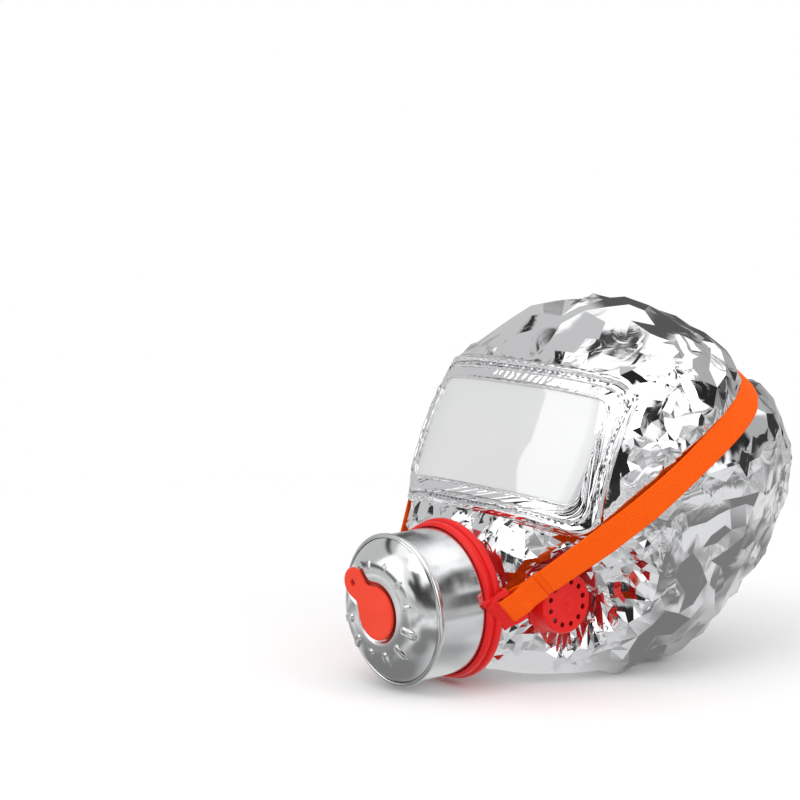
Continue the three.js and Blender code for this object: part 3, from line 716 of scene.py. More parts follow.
def add_floor():
    """A pale floor that is pure white a few metres out, so that it meets the white world unseen. To glossy
    rays it glows a patchy grey instead: a painted reflection, darker near the object as painted shade.
    """
    turn = full_turn(FLOOR_SIDES)
    radii = np.array(FLOOR_RADII)
    rings = np.stack([radii[:, None] * np.sin(turn), radii[:, None] * np.cos(turn),
                      np.full((len(radii), FLOOR_SIDES), -0.2)], -1)
    faces = [list(f) for f in grid_faces(len(radii), FLOOR_SIDES, wrap_cols=True)]
    floor = new_object("floor", rings, faces + [list(range(FLOOR_SIDES))], outward=False)
    t = material_tree("floor")
    t.set(Base_Color=(0.93, 0.93, 0.93, 1), Roughness=0.6, Specular_IOR_Level=0.1)
    away = t.node("ShaderNodeVectorMath", {"operation": "LENGTH"}, i0=t.place).outputs["Value"]
    seen = t.mixed(t.spread(away, 0.25, 0.9, 0.0, 1.0), t.shader.outputs[0], t.glow(1.0))
    # Painted reflection: to glossy rays the floor glows a patchy grey, darker towards the back, instead of
    # its lit colour.
    depth = t.node("ShaderNodeSeparateXYZ", Vector=t.place).outputs["Y"]
    patches = t.spread(t.noise(8.0, 2.0), 0.42, 0.58, 0.40, 1.35)
    grey = t.math("MULTIPLY", t.spread(depth, -0.35, 0.25, 0.78, 0.60), patches)
    # Painted shade: the reflected floor is darker close to the object, as if it stood in the object's shadow.
    grey = t.math("MULTIPLY", grey, t.spread(away, 0.10, 0.40, 0.74, 1.0))
    surface = t.mixed(t.is_glossy_ray(), seen, t.glow(grey))
    t.links.new(surface, t.nodes["Material Output"].inputs["Surface"])
    floor.data.materials.append(t.owner)


def card_mask(t, ray, azimuth, elevation, roll, width, height, soft):
    """1 where a ray meets a card of those half angles in degrees, 0 where it misses."""
    ahead = towards(math.radians(azimuth), math.radians(elevation))
    axes = ahead.to_track_quat("Z", "Y").to_matrix()
    c, s = math.cos(math.radians(roll)), math.sin(math.radians(roll))
    forward = t.math("MAXIMUM", t.dot(ray, ahead), 0.02)
    sides = []
    for side, half in ((Vector((c, s, 0)), width), (Vector((-s, c, 0)), height)):
        off = t.math("ABSOLUTE", t.math("DIVIDE", t.dot(ray, axes @ side), forward))
        limit = math.tan(math.radians(half))
        sides.append(t.spread(off, limit - soft, limit + soft, 1.0, 0.0, "SMOOTHSTEP"))
    return t.math("MULTIPLY", *sides)


def studio_world():
    """A white room whose reflections are a grey one with soft white boxes and black flags in it."""
    t = Tree(bpy.data.worlds.new("world"))
    ray = t.coordinates["Generated"]
    shade = t.spread(t.dot(ray, (0, 0, 1)), 0.0, 1.0, 0.40, 0.50)
    for *card, value in CARDS:
        mask = card_mask(t, ray, *card)
        kept = t.math("MULTIPLY", shade, t.math("SUBTRACT", 1.0, mask))
        shade = t.math("ADD", kept, t.math("MULTIPLY", mask, value))
    glossy = t.is_glossy_ray()
    level = t.math("ADD", t.math("SUBTRACT", 1.0, glossy), t.math("MULTIPLY", shade, glossy))
    t.fill(t.nodes["Background"].inputs["Strength"], level)
    t.nodes["Background"].inputs["Color"].default_value = (1, 1, 1, 1)
    bpy.context.scene.world = t.owner


# Azimuth, elevation and roll of each card seen in reflections, half its width and height in degrees,
# how soft its edge is and how bright it is.
CARDS = (
    (150, 78, 0, 34, 30, 0.10, 1.15),
    (170, 50, 0, 17, 12, 0.05, 1.25),
    (104, 16, 8, 24, 16, 0.05, 1.10),
    (62, 42, -10, 15, 26, 0.05, 1.10),
    (-34, 24, 0, 26, 24, 0.22, 1.40),
    (-86, 72, 0, 34, 17, 0.05, 1.15),
    (-86, 22, 0, 34, 34, 0.012, 0.58),
    (-74, 40, 6, 22, 3.0, 0.02, 0.02),
    (-110, 62, 20, 5, 3.5, 0.03, 0.03),
    (0, 26, 0, 9, 20, 0.08, 0.95),
    (19, 34, 20, 8, 24, 0.02, 0.01),
    (36, 26, 10, 7, 18, 0.03, 1.20),
    (-140, 25, 0, 14, 20, 0.06, 0.10),
    (134, 34, 24, 8, 16, 0.03, 0.02),
    (84, 46, -20, 8, 13, 0.02, 0.02),
    (128, 6, 4, 5, 10, 0.02, 0.03),
    (165, 10, 0, 24, 7, 0.03, 0.04),
    (-48, 2, 0, 34, 5, 0.02, 0.04),
    (48, 7, 0, 20, 6, 0.02, 0.03),
    (30, 17, 0, 17, 11, 0.03, 0.02),
    (43, 22, 12, 5, 11, 0.02, 0.02),
    (8, 20, -30, 9, 6, 0.03, 0.02),
    (52, 34, -14, 3, 12, 0.02, 0.02),
    (70, 62, 30, 3, 14, 0.02, 0.03),
    (-4, 58, 40, 2.5, 16, 0.02, 0.03),
    (24, 66, -30, 2.5, 14, 0.02, 0.03),
    (112, 50, 10, 4, 12, 0.02, 0.03),
)


def add_light(name, azimuth, elevation, distance, size, power):
    data = bpy.data.lights.new(name, "AREA")
    data.shape = "SQUARE"
    data.size = size
    data.energy = power
    light = placed(bpy.data.objects.new(name, data))
    pointed_at(light, Vector((0, 0, 0.1)), math.radians(azimuth), math.radians(elevation), distance)
    light.visible_camera = False


def add_studio():
    studio_world()
    bpy.context.scene.view_settings.view_transform = "Standard"
    add_light("key", 20, 55, 1.6, 0.9, 6)
    add_light("side", 110, 35, 1.8, 0.8, 4)


# ---- Foil hood ----------------------------------------------------------------------------
def smooth_min(a, b, soft):
    h = np.clip(0.5 + 0.5 * (b - a) / soft, 0, 1)
    return b * (1 - h) + a * h - soft * h * (1 - h)


def grid_normals(points):
    """Normals of a grid that is closed along its second axis, pointing outwards."""
    around = np.roll(points, -1, 1) - np.roll(points, 1, 1)
    up = np.gradient(points, axis=0)
    return unit(np.cross(around, up))


def pocketed(points):
    """The surface drawn in to the flat seats of the two side valves, and to the canister's ring."""
    p = points.copy()
    away = np.hypot(p[..., 1] - behind(VALVE_DEPTH), p[..., 2] - VALVE_Z)
    limit = POCKET_FLOOR + 0.3 + 34 * smooth(POCKET_RADIUS - 2, POCKET_RADIUS + 22, away)
    limit = limit + 400 * smooth(44, 70, away)
    x = np.abs(p[..., 0])
    p[..., 0] = np.sign(p[..., 0]) * np.where(away < 75, smooth_min(x, limit, 4.0), x)
    local = untilted(p)
    floor = RING_REAR + 0.6
    flat = -smooth_min(-local[..., 1], -np.full(local.shape[:-1], floor), 2.5)
    local[..., 1] = np.where(local[..., 1] < floor + 12, flat, local[..., 1])
    return tilted(local)


def spokes(angle, distance, pitch, seed, length=45.0):
    """Pleats that run away from a round or straight edge, by the way along it and the distance from it."""
    return faceted(np.stack([angle / pitch, distance / length, np.zeros_like(distance)], -1), seed)


def surroundings(points, turn, z):
    """What each point of the hood is near to, as distances in millimetres and as shares from 0 to 1."""
    at = SimpleNamespace(points=points, turn=turn, z=z)
    at.side = np.abs(np.where(turn > math.pi, 2 * math.pi - turn, turn))
    at.frontal = np.cos(turn) > 0
    at.to_strap = (z - strap_height(at.side)) * 0.75
    at.past_lug = smooth(0.7, 1.0, at.side)
    at.under_strap = np.exp(-(at.to_strap / 12.0) ** 2) * at.past_lug
    visor = points - VISOR_AT
    at.visor_x, at.visor_z = visor[..., 0], visor @ VISOR_UP
    at.to_frame = np.where(at.frontal, visor_distance(at.visor_x, at.visor_z, BAND_X, BAND_Z), 200.0)
    at.past_frame = np.clip(at.to_frame, 0, None)
    at.near_frame = np.exp(-at.past_frame / 14.0)
    at.can = untilted(points)
    at.from_axis = np.hypot(at.can[..., 0], at.can[..., 2])
    at.past_ring = np.clip(at.from_axis - 50, 0, None)
    at.near_ring = np.exp(-at.past_ring / 20.0) * at.frontal
    at.valve_y, at.valve_z = points[..., 1] - behind(VALVE_DEPTH), points[..., 2] - VALVE_Z
    at.from_valve = np.hypot(at.valve_y, at.valve_z)
    at.near_valve = (1 - smooth(44, 72, at.from_valve)) * smooth(20, 30, at.from_valve)
    at.crown = smooth(192, 226, z) * (1 - 0.85 * smooth(1.2, 1.9, at.side))
    at.neck = 1 - smooth(8, 80, z)
    above = smooth(-4, 14, at.to_strap)
    at.below = (1 - above) * smooth(1.0, 1.5, at.side)
    heavy = above * smooth(0.95, 1.35, at.side) * (1 - smooth(222, 240, z)) * (1 - 0.6 * at.crown)
    beside = 0.85 * np.exp(-((at.to_strap + 24) / 16.0) ** 2) * smooth(1.15, 1.45, at.side)
    at.heavy = np.maximum(heavy, beside)
    at.seam = smooth(226, 238, z) * smooth(-3, 6, behind(202) - points[..., 1])
    return at


def facet_spacing(at, level):
    """How far apart the corners of the facets are."""
    patches = smooth(-0.05, 0.25, crumple(at.points, 42.0, 31) + 1.1 * (level - 0.66))
    spacing = 10.0 + 4.5 * at.crown - (6.0 + 3.5 * at.crown) * patches
    for limit in (3.4 + 0.45 * at.past_frame,
                  np.where(at.frontal, 3.6 + 0.35 * at.past_ring, 40.0),
                  3.8 + 0.30 * np.abs(at.from_valve - 32),
                  4.5 + 0.35 * np.abs(at.to_strap) + 30 * (1 - at.past_lug),
                  4.0 + 0.20 * at.z,
                  2.4 + 0.5 * np.abs(at.points[..., 0]) + 40 * (1 - at.seam)):
        spacing = np.minimum(spacing, limit)
    return spacing


def pleats(at):
    """Heights of the pleats by the frame, ring, valves and neck, below the strap and at the temples."""
    points = at.points
    beside = np.abs(at.visor_x) / (WINDOW_WIDTH / 2) > np.abs(at.visor_z) / (WINDOW_HEIGHT / 2)
    along_frame = np.where(beside, at.visor_z, at.visor_x)
    yield spokes(along_frame, at.past_frame, 5.0, 41) * 1.2 * np.exp(-at.past_frame / 11.0) * at.frontal
    yield spokes(np.arctan2(at.can[..., 2], at.can[..., 0]) * 50, at.from_axis, 7.0, 43) * 2.4 * at.near_ring
    yield spokes(np.arctan2(at.valve_z, at.valve_y) * 24, at.from_valve, 8.5, 47) * 1.2 * at.near_valve
    yield crumple(points, 16.0, 49) * 2.8 * at.near_valve
    gathers = spokes(at.turn * 60, at.z, 12.0, 53, 70.0) * 5.6 + crumple(points, 17.0, 55) * 3.4
    yield gathers * at.neck * smooth(0, 7, at.z)
    slant = points[..., 2] * 0.55 + at.valve_y * 0.45
    drape = spokes(slant, points[..., 2] - points[..., 1], 15.0, 59, 110.0)
    yield drape * 3.6 * at.below * (1 - 0.5 * at.neck)
    folds = spokes(at.turn * 110, at.z, 12.0, 61, 80.0) * 3.4 * smooth(0.80, 0.95, at.side)
    yield folds * (1 - smooth(1.25, 1.6, at.side)) * smooth(96, 130, at.z) * (1 - at.crown)


def stand_off(at, level, spacing):
    """How far each point stands off the hood's smooth shape."""
    points, x, rear = at.points, at.points[..., 0], smooth(1.5, 2.2, at.side)
    shift = crumple(points, 50.0, 3) * (5.0 + 1.0 * at.heavy - 2.0 * at.crown + 1.6 * rear)
    smaller = 1.6 + 2.0 * at.heavy - 1.2 * at.crown + 0.6 * rear
    shift += crumple(points * np.array([1, 1, 0.6]), 27.0, 7) * smaller
    for pleat in pleats(at):
        shift += pleat
    jitter = np.random.RandomState(JITTER_SEED).uniform(-1, 1, shift.shape) * spacing
    jitter = jitter * (0.10 + 0.16 * level + 0.10 * at.neck)
    shift += jitter * (1 - 0.7 * at.near_ring + 0.5 * at.near_valve)
    # The strap presses the foil flat and makes it bulge at both of its edges.
    shift = shift * (1 - 0.93 * at.under_strap) - 1.0 * at.under_strap
    bulge = np.exp(-((at.to_strap - 17) / 9.0) ** 2) * 2.6 + np.exp(-((at.to_strap + 17) / 9.0) ** 2) * 1.6
    shift += bulge * at.past_lug * smooth(1.2, 1.6, at.side)
    ridge = np.exp(-(x / 2.6) ** 2) * at.seam
    shift += ridge * (2.6 + 2.0 * faceted(points * np.array([0, 0.3, 0]), 67))
    # It lies flat at the frame, the valves, the hem and the ring.
    shift *= np.where(at.frontal, smooth(-2, 6, at.to_frame), 1.0)
    shift *= np.where(np.abs(x) > 35, smooth(POCKET_RADIUS - 6, POCKET_RADIUS + 4, at.from_valve), 1.0)
    shift *= smooth(0, 5, at.z)
    shift = np.where((at.from_axis < 46) & at.frontal, 0, shift)
    return np.clip(shift, -8, 6.5)


def crumpling(points, turn, z):
    """How far each point stands off the smooth shape, how crumpled it is and how far its next corner is."""
    at = surroundings(points, turn, z)
    level = np.clip(0.42 + 0.62 * at.heavy - 0.30 * at.crown - 0.12 * at.below + 0.3 * at.near_frame
                    + 0.4 * at.near_ring + 0.3 * at.near_valve, 0.12, 1.15)
    spacing = facet_spacing(at, level)
    return stand_off(at, level, spacing), np.clip(level * (1 - 0.6 * at.under_strap), 0.1, 1.2), spacing


FOIL_NODES = ("left_panel", "right_panel", "left_crown", "right_crown", "chin_panel", "crown_seam")
HOOD_MIDDLE = np.array([0.0, FRONT_Y + 175.0, 115.0])
HOOD_ROWS, HOOD_COLS = 214, 450  # of the places that the facets' corners are picked from
JITTER_SEED, PICK_SEED = 5, 9
HEM_STEP = 4  # columns between the points of the hem's fold
HEM_Z = 0.15  # the lowest that the foil comes
NECK_LEVEL = -0.22  # of outside_by, at the fold's inner edge


def hood_grid():
    """Points close together over the hood's smooth shape, their angles from the front and their heights."""
    pick = np.linspace(0, len(DENSE) - 1, HOOD_ROWS).astype(int)
    turn = full_turn(HOOD_COLS)[None, :]
    z, half, front, back, square = (DENSE[pick, k][:, None] for k in range(5))
    x, depth = round_section(half, front, back, square, turn)
    points = pocketed(np.stack(np.broadcast_arrays(x, behind(depth), z), -1))
    return points, *np.broadcast_arrays(turn, z)


def hem_fold(edge):
    """Points of the fold that runs inwards from the hood's lower edge."""
    rings = [edge[::HEM_STEP]]
    for inset in (HEM / 2, HEM):
        ring = hood_point(np.zeros(HOOD_COLS), full_turn(HOOD_COLS), inset)[::HEM_STEP]
        ring[:, 2] = HEM_Z
        rings.append(ring)
    return np.concatenate(rings)


def in_openings(corners):
    """Which triangles lie in the window, the canister's port, a valve's hole or the neck."""
    middle = corners.mean(1)
    visor = middle - VISOR_AT
    window = visor_distance(visor[:, 0], visor @ VISOR_UP, BAND_X - 5, BAND_Z - 5) < 0
    window &= visor @ VISOR_OUT > -60
    can = untilted(middle)
    port = (np.hypot(can[:, 0], can[:, 2]) < RING_PORT) & (can[:, 1] < RING_REAR + 8)
    away = np.hypot(middle[:, 1] - behind(VALVE_DEPTH), middle[:, 2] - VALVE_Z)
    valve = (away < 13.5) & (np.abs(middle[:, 0]) > 40)
    neck = (corners[..., 2] < HEM_Z + 0.01).all(1)
    neck &= outside_by(middle * np.array([1.0, 1.0, 0.0]) + np.array([0, 0, 0.01])) < NECK_LEVEL
    return window | port | valve | neck


def build_hood():
    """One crumpled sheet from the neck hem to the crown, open at the window, canister and valves."""
    base, turn, z = hood_grid()
    shift, level, spacing = crumpling(base, turn, z)
    points = base + grid_normals(base) * shift[..., None]
    points[..., 2] = np.maximum(points[..., 2], HEM_Z)
    hem = hem_fold(points[0])
    base, points = base[1:].reshape(-1, 3), points[1:].reshape(-1, 3)
    picked = scatter(base, spacing[1:].reshape(-1), PICK_SEED)
    level = np.concatenate([np.full(len(hem), 0.5), level[1:].reshape(-1)[picked]])
    faces = joined_up(np.concatenate([hem, base[picked]]), HOOD_MIDDLE)
    points = np.concatenate([hem, points[picked]])
    points, faces, used = only_used(points, faces[~in_openings(points[faces])])
    hood = make("foil_hood", points, faces, "hood_foil", 11, outward=False, replaces=FOIL_NODES)
    set_attribute(hood, "crumpling", level[used])


# ---- Window -------------------------------------------------------------------------------
STITCH_SHARE, STITCH_PITCH, STITCH_LENGTH, THREAD_RADIUS = 0.63, 4.2, 2.7, 0.42


def window_shell(shares, heights, seed=0, pucker=0.0):
    """Rings round the window on the hood's surface, lifted by a height for each ring."""
    rings = []
    for share, height in zip(shares, heights):
        outline = window_outline(share)
        p = on_visor(outline[:, 0], outline[:, 1])
        q = on_visor(outline[:, 0] * 1.002, outline[:, 1])
        w = on_visor(outline[:, 0], outline[:, 1] * 1.004)
        n = unit(np.cross(q - p, w - p))
        n = np.where((n @ VISOR_OUT)[:, None] < 0, -n, n)
        lift = np.full(len(p), float(height))
        around = distance_along(np.vstack([outline, outline[:1]]))[1:]
        for gain, pitch, run, k in ((np.clip(share, 0, 1) ** 0.5, 3.3, 1.6, 0), (0.6, 1.9, 4.0, 1)):
            at = np.stack([around / pitch, np.full(len(p), share * run), np.zeros(len(p))], -1)
            lift += pucker * gain * faceted(at, seed + k)
        rings.append(p + n * lift[:, None])
    return np.array(rings)


def frame_height(share):
    """The band's section: tucked under at both edges, with a raised seam and an outer bead."""
    bead = 1.9 * math.exp(-((share - 0.80) / 0.10) ** 2)
    seam = 0.7 * math.exp(-((share - 0.50) / 0.05) ** 2)
    lip = 0.8 * math.exp(-((share - 0.03) / 0.05) ** 2)
    return 0.9 + bead + seam + lip - 2.6 * max(0, (share - 0.93) / 0.12)


def build_window():
    shares = np.linspace(-0.02, 1.06, 58)
    outer = window_shell(shares, [frame_height(s) for s in shares], seed=71, pucker=0.42)
    under = window_shell(shares[::-1][::6], [-0.8] * len(shares[::6]))
    rings = np.concatenate([outer, under])
    band = make_tube("window_frame_foil", rings, "hood_foil", replaces=["window_frame"])
    set_attribute(band, "crumpling", [0.28] * len(band.data.vertices))
    build_stitches()
    build_lens()


def stitch(start, stop):
    """Rings along one stitch, a short thread that arches a little off the band."""
    along = unit(stop - start)
    up = unit(np.cross(along, np.cross(VISOR_OUT, along)))
    sideways = np.cross(along, up)
    rings = []
    for t, thick in ((0, 0.35), (0.15, 0.85), (0.5, 1.0), (0.85, 0.85), (1, 0.35)):
        at = start + (stop - start) * t + up * (0.25 * math.sin(math.pi * t) - 0.1)
        rings.append([at + THREAD_RADIUS * thick * (math.cos(a) * up + math.sin(a) * sideways)
                      for a in np.arange(6) * math.pi / 3])
    return np.array(rings)


def build_stitches():
    """A row of short stitches along the band."""
    outline = window_outline(STITCH_SHARE)
    ring = window_shell([STITCH_SHARE], [frame_height(STITCH_SHARE) + 0.22])[0]
    length = distance_along(np.vstack([outline, outline[:1]]))
    closed = np.vstack([ring, ring[:1]])
    count = int(length[-1] / STITCH_PITCH)
    starts = [k * length[-1] / count for k in range(count)]
    ends = [[np.array([np.interp(s, length, closed[:, c]) for c in range(3)]) for s in (a, a + STITCH_LENGTH)]
            for a in starts]
    make("window_stitching", *together(stitch(*pair) for pair in ends), "hood_foil", material=THREAD)


def build_lens():
    """The visor's film: a smooth curved sheet tucked under the frame."""
    rows, cols = 34, 90
    u, v = np.broadcast_arrays(np.linspace(-1, 1, cols)[None, :] * (WINDOW_WIDTH / 2 + 2),
                               np.linspace(-1, 1, rows)[:, None] * (WINDOW_HEIGHT / 2 + 2))
    film = on_visor(u, v) + 0.25 * VISOR_OUT
    outside = visor_distance(u, v).reshape(-1) > 2.5
    faces = grid_faces(rows, cols)
    points, faces, _ = only_used(film.reshape(-1, 3), faces[~outside[faces].any(1)])
    make("visor_lens", points, faces, "lens_film", outward=False, replaces=["window_lens"])


# ---- Canister -----------------------------------------------------------------------------
CAN_WALL = 1.0
CAP_RIBS = 12
UPPER_TICK = 0.5  # size of the marks in the upper half against those in the lower
# How far in the plug's outline is, and its depth, from the back of its face to the front.
PLUG_PROFILE = ((0.9, 1.6), (0.25, 1.3), (0.0, 0.9), (0.0, 0.0), (0.1, -0.5), (0.5, -0.95), (1.2, -1.2),
                (2.2, -1.3), (3.4, -1.3), (4.4, -1.2), (6.2, -1.2))


def build_can_shell():
    """The drawn steel body with its rolled front rim."""
    inside = CAN_RADIUS - CAN_WALL
    bead = [(BEAD_RADIUS - 1.1 + 1.1 * math.cos(a), CAP_DEPTH + 1.3 - 1.3 * math.sin(a))
            for a in np.linspace(math.pi * 0.75, -math.pi / 2, 12)]
    outline = [(inside, CAP_DEPTH - 0.2)] + bead + [
        (CAN_RADIUS + 0.25, CAP_DEPTH + 3.6), (CAN_RADIUS, CAP_DEPTH + 5.0), (CAN_RADIUS, CAP_DEPTH + 20),
        (CAN_RADIUS, REAR_DEPTH - 4), (CAN_RADIUS, REAR_DEPTH), (inside, REAR_DEPTH)]
    rings = tilted(revolve(np.array(outline), 192))
    make_tube("canister_shell", rings, "can_steel", 60, replaces=["can_shell"])


def keyhole_distance(x, z, grow=0.0):
    """Distance outside the plug's outline: a disc, a pull tab and the waist between them."""
    tx, tz = PLUG_TAB_AT
    reach = math.hypot(tx, tz)
    along = np.clip((x * tx + z * tz) / reach**2, 0, 1)
    waist = np.hypot(x - along * tx, z - along * tz) - 7.4
    disc = np.hypot(x, z) - PLUG_DISC
    tab = np.hypot(x - tx, z - tz) - PLUG_TAB
    return smooth_min(smooth_min(disc, tab, 3.0), waist, 6.0) - grow


def cap_height(radius, angle):
    """Depth of the cap's outer face: a dome, a keyhole recess, radial ribs and small raised ticks."""
    x, z = radius * np.sin(angle), radius * np.cos(angle)
    dome = 0.5 + 12.3 * np.clip((radius - 22) / 24.8, 0, None) ** 2.6
    depth = dome + 1.5 * (1 - smooth(-0.5, 2.6, keyhole_distance(x, z, 1.0)))
    tab_angle = math.atan2(*PLUG_TAB_AT)
    for k in range(CAP_RIBS):
        a = (k + 0.5) / CAP_RIBS * 2 * math.pi
        if math.cos(a - tab_angle) > 0.8:
            continue
        size = UPPER_TICK if math.cos(a) > 0.1 else 1.0
        along = (x * math.sin(a) + z * math.cos(a) - 31.5) / size
        sideways = (x * math.cos(a) - z * math.sin(a)) / size
        d = np.hypot(np.maximum(np.abs(along) - 3.2, 0), sideways)
        depth = depth - size * (1.3 * (1 - smooth(1.9, 3.0, d)) - 0.4 * (1 - smooth(0.8, 1.9, d)))
    return depth


def build_cap():
    """The pressed front cap, its inner face a wall behind the outer one."""
    angle = full_turn(420)[None, :]
    radius = np.concatenate([np.linspace(INLET, 40, 88), np.linspace(40.3, 46.9, 26)])[:, None]
    x, z, depth = radius * np.sin(angle), radius * np.cos(angle), cap_height(radius, angle)
    outer = np.stack([x, depth, z], -1)
    inner = np.stack([x, np.minimum(depth + CAN_WALL, CAP_DEPTH), z], -1)[::6][::-1]
    rings = tilted(np.concatenate([outer, inner]))
    make_tube("canister_front_cap", rings, "can_steel", 70, replaces=["can_front_cap"])


def plug_ring(inset, y):
    """The plug's outline as a ring of points, pulled in by a distance."""
    angle = full_turn(220)
    r = crossing(lambda r: keyhole_distance(r * np.sin(angle), r * np.cos(angle), -inset) > 0,
                 np.zeros(220), np.full(220, 46.0), 30)
    return np.stack([r * np.sin(angle), np.full_like(r, y), r * np.cos(angle)], -1)


def build_front_plug():
    """The keyhole-shaped rubber plug, a hole in its tab and a stem in the canister's inlet."""
    points, faces = closed_rings(tilted(np.array([plug_ring(inset, y) for inset, y in PLUG_PROFILE])))
    plug = make("front_plug_rubber", points, faces, "plug_rubber", 55, "front_plug", replaces=["front_plug"])
    drill(plug, [tilted(hole(*PLUG_TAB_AT, PLUG_HOLE, (-4.0, 4.0), 40))])
    stem = tilted(revolve(fillet([(0.5, 1.2), (11.7, 1.2), (11.7, 9), (0.5, 9)], 1.0), 64))
    make_tube("front_plug_stem", stem, "plug_rubber", 50, body="front_plug")


# ---- Seat ring and lugs -------------------------------------------------------------------
SIDES = ((1, "left"), (-1, "right"))


def build_ring():
    outline = fillet([
        (RING_PORT, RING_REAR - 4), (RING_INNER, RING_REAR - 4), (RING_INNER, RING_FRONT),
        (50.2, RING_FRONT), (51.6, RING_FRONT + 1.6), (51.6, RING_FRONT + 4.4), (50.4, RING_FRONT + 5.2),
        (50.6, RING_FRONT + 6.0), (52.2, RING_FRONT + 6.4), (RING_OUTER, RING_FRONT + 7.2),
        (RING_OUTER, RING_REAR), (RING_PORT, RING_REAR)], 0.6, 3)
    rings = tilted(revolve(outline, 200))
    make_tube("seat_ring_moulding", rings, "red_plastic", 40, replaces=["seat_ring"])
    for side, name in SIDES:
        build_lug(side, name)


def slab(outline, low, high):
    """An outline in the first two coordinates as a block between two heights, as rings."""
    centre = outline.mean(0)
    away = outline - centre
    rows = []
    for inset, w in ((0.5, low), (0.12, low + 0.15), (0.0, low + 0.5), (0.0, high - 0.5), (0.12, high - 0.15),
                     (0.5, high)):
        scale = 1 - inset / np.maximum(np.linalg.norm(away, axis=1, keepdims=True), 1)
        rows.append(np.column_stack([centre + away * scale, np.full(len(outline), w)]))
    return np.array(rows)


def build_lug(side, name):
    """A strap lug: a plate with its slot and bar, and a wedge that joins it to the ring."""
    outline = fillet([(-14, -11), (-3.5, -14), (3.4, -14), (3.4, 14), (-3.5, 14), (-14, 11)], 1.6)
    points, faces = closed_rings(lug_frame(slab(outline, -1.6, 1.6), side))
    lug = make(f"strap_lug_{name}", points, faces, "red_plastic", 35)
    slot = np.array([[(-5.7, -10.8, w), (-2.1, -10.8, w), (-2.1, 10.8, w), (-5.7, 10.8, w)] for w in (-4, 4)])
    drill(lug, [lug_frame(slot, side)])
    rib = fillet([(-15, 0), (-5.5, 0), (-5.5, 2.4), (-15, 6.0)], 0.5)
    for end, place in ((-1, "lower"), (1, "upper")):
        rows = np.array([[(u, end * v, -w) for u, w in rib] for v in (9.6, 10.0, 12.6, 13.0)])
        points, faces = closed_rings(lug_frame(rows, side))
        make(f"strap_lug_{name}_rib_{place}", points, faces, "red_plastic", 35)


# ---- Strap --------------------------------------------------------------------------------
LOOP_GAP, SEWN_GAP = 2.6, 0.75  # from the middle of the loop to its webbing, at the bar and where it is sewn


def strap_loop():
    """The webbing's way round the lug's bar and back, as distances along it and out of its face."""
    def gap(u):
        return SEWN_GAP + (LOOP_GAP - SEWN_GAP) * smooth(12, 5, u) if u > 5 else LOOP_GAP

    rows = [(u, gap(u)) for u in np.linspace(STRAP_PIVOT - 4.5, 4.0, 40)]
    rows += [(-3.8 - LOOP_GAP * math.sin(a) * 0.9, LOOP_GAP * math.cos(a))
             for a in np.linspace(0, math.pi, 14)[1:-1]]
    rows += [(u, -gap(u)) for u in np.linspace(4.0, STRAP_PIVOT - 0.2, 40)]
    return np.array(rows)


def strap_rows():
    """Middle line and direction across of the webbing's loop, then of its way from there to the middle."""
    loop = strap_loop()
    middle = BAR + loop[:, :1] * LEAVE + loop[:, 1:2] * OUT_OF_FACE
    across = np.tile(ACROSS, (len(loop), 1))
    turns = np.linspace(TOUCH, math.pi, 330)
    on = np.array([strap_point(t) for t in turns])
    ahead = unit(np.gradient(on, axis=0))
    up = np.array([hood_point(strap_height(t) + 1, t) - hood_point(strap_height(t) - 1, t) for t in turns])
    across_on = unit(np.cross(unit(np.cross(ahead, up)), ahead))
    share = np.linspace(0, 1, 110)[:, None]
    free = (BAR + STRAP_PIVOT * LEAVE) * (1 - share) + on[0] * share
    across_free = unit(ACROSS * (1 - share) + across_on[0] * share)
    return middle, across, np.vstack([free, on[1:]]), np.vstack([across_free, across_on[1:]])


def ribbed_tape(middle, across):
    """A tape with rounded edges and a rib across it every so often, as closed rows of points."""
    out = unit(np.cross(unit(np.gradient(middle, axis=0)), across))
    rib = 0.2 * np.abs(np.sin(math.pi * distance_along(middle) / RIB_PITCH))
    half = STRAP_WIDTH / 2
    section = []
    for face, height in ((1, 1.0), (-1, 0.0)):
        for v in np.linspace(-face, face, 15):
            section.append((v * (half - 0.35), height, face * (1.0 if abs(v) < 0.86 else 0.3)))
        section.append((face * half, 0.5, 0.0))
    return np.stack([middle + across * v + out * ((w - 0.5) * (STRAP_THICK - 0.3) + rib * r)[:, None]
                     for v, w, r in section], 1)


def resample(middle, across, step):
    distance = distance_along(middle)
    at = np.arange(0, distance[-1], step)
    pick = [np.column_stack([np.interp(at, distance, a[:, c]) for c in range(3)]) for a in (middle, across)]
    return pick[0], unit(pick[1])


def both_sides(loop, web):
    """Rows for the whole strap from those of its left half."""
    mirror = np.array([-1, 1, 1])
    return np.vstack([loop, web[1:], web[:-1][::-1] * mirror, loop[::-1] * mirror])


def build_strap():
    loop, loop_across, web, web_across = strap_rows()
    middle, across = resample(both_sides(loop, web), both_sides(loop_across, web_across), RIB_PITCH / 4)
    rows = ribbed_tape(middle, across)
    points, faces = closed_rings(rows)
    strap = make("head_strap_webbing", points, faces, "strap_webbing", body=None,
                 replaces=["strap_web", "strap_end_left", "strap_end_right"])
    set_attribute(strap, "along", np.repeat(np.arange(len(rows)) * RIB_PITCH / 4, rows.shape[1]))
    set_attribute(strap, "across", ((rows - middle[:, None]) * across[:, None]).sum(-1).reshape(-1))
    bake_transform(strap)


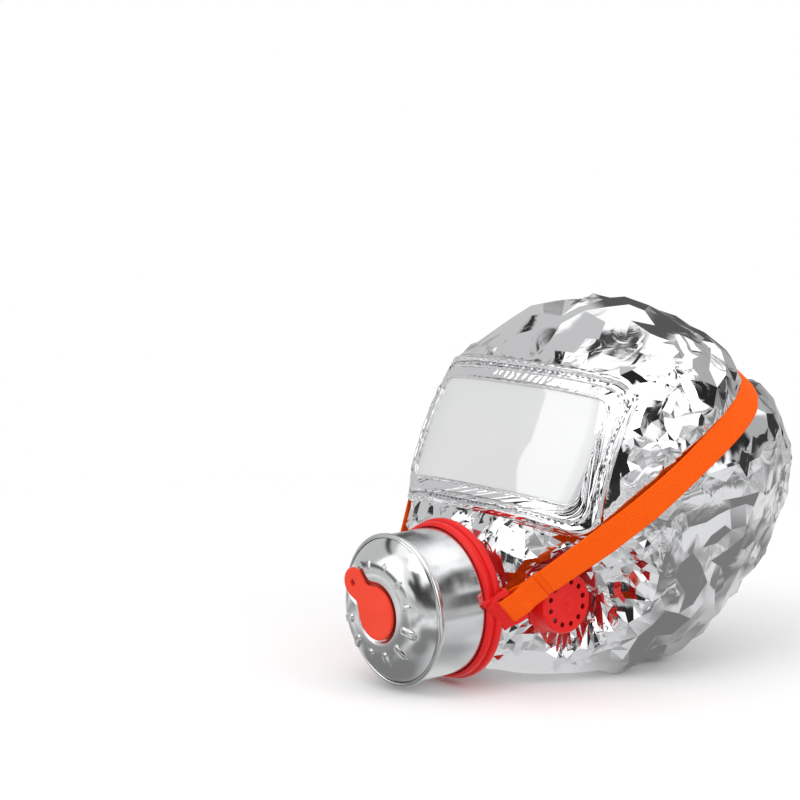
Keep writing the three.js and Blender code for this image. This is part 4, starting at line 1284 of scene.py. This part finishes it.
# ---- Valves -------------------------------------------------------------------------------
def build_valves():
    """The valves' red covers, each with a boss in the middle and a ring of holes."""
    r, base, face = VALVE_RADIUS, VALVE_BASE, VALVE_FACE
    outline = fillet([
        (r + 1.5, base), (r + 1.1, base + 2.6), (r, base + 4.4), (r - 0.3, face - 1.5),
        (r - 1.7, face), (r - 3.2, face - 0.1), (r - 3.6, face - 0.55), (6.8, face - 0.55),
        (6.2, face - 0.1), (5.2, face - 0.1), (4.6, face - 0.5), (0.4, face - 0.5),
        (0.4, face - 2.0), (r - 2.1, face - 2.0), (r - 1.6, base)], 0.5, 3)
    angles = [(k + 0.5) / 12 * 2 * math.pi for k in range(12)]
    holes = [hole(VALVE_HOLE_RING * math.sin(a), VALVE_HOLE_RING * math.cos(a), VALVE_HOLE,
                  (face - 5, face + 3), 20) for a in angles]
    for side, name in SIDES:
        cover = make_tube(f"exhale_cover_{name}_cap", along_x(revolve(outline, 128), side), "red_plastic", 35,
                          replaces=[f"exhale_cover_{name}"])
        drill(cover, [along_x(h, side) for h in holes])


# ---- Mask and neck ------------------------------------------------------------------------
def build_mask():
    """The oronasal half mask: a soft cup with a rolled lip, and its collar in the ring's port."""
    half_x, half_y, half_z, rim, centre_z, wall = 45.0, 56.0, 44.0, 124.0, 8.0, 2.6
    collar, bore = RING_PORT - 0.3, 22.7
    turn = full_turn(96)

    def cup(inset, share):
        a = share * math.pi / 2
        return np.stack([(half_x - inset) * math.sin(a) * np.sin(turn),
                         np.full_like(turn, rim - (half_y - inset) * math.cos(a)),
                         (half_z - inset) * math.sin(a) * np.cos(turn) + centre_z * share], -1)

    def ring(radius, y):
        return np.stack([radius * np.sin(turn), np.full_like(turn, y), radius * np.cos(turn)], -1)

    rows = [ring(bore, 60), ring(collar, 60), ring(collar, 70)]
    rows += [cup(0, s) for s in np.linspace(0.40, 1.0, 16)]
    rows += [cup(-1.6 * math.cos(a) + wall / 2, 1.0) + np.array([0, 1.6 + 1.6 * math.sin(a), 0])
             for a in np.linspace(-math.pi / 2, math.pi / 2, 8)]
    rows += [cup(wall, s) for s in np.linspace(1.0, 0.42, 16)] + [ring(bore, 74)]
    make_tube("half_mask_cup", tilted(np.array(rows)), "mask_silicone", replaces=["half_mask"])


# Height, distance in from the hood's edge and depth of the gathers, round the cuff's section.
CUFF = ((0.4, 5.6, 0.1), (0.5, 6.6, 0.3), (3.0, 7.2, 0.7), (6.0, 7.8, 0.9), (9.0, 7.8, 0.9),
        (12.0, 7.2, 0.6), (13.0, 6.8, 0.3), (12.6, 6.3, 0.3), (8.0, 6.4, 0.5), (3.0, 6.2, 0.3))


def build_neck():
    """A knitted cuff gathered by its elastic inside the hem."""
    turn = full_turn(360)
    wave = np.sin(turn * 46 + 0.8 * np.sin(turn * 5))
    rings = [hood_point(np.zeros(360), turn, inset + 0.8 + gather * wave) + np.array([0, 0, z])
             for z, inset, gather in CUFF]
    make_tube("neck_cuff_knit", np.array(rings), "cuff_knit", replaces=["neck_cuff"])


add_camera()
add_floor()
add_studio()
finish_cad_nodes()
build_hood()
build_window()
build_can_shell()
build_cap()
build_front_plug()
build_ring()
build_strap()
build_valves()
build_mask()
build_neck()
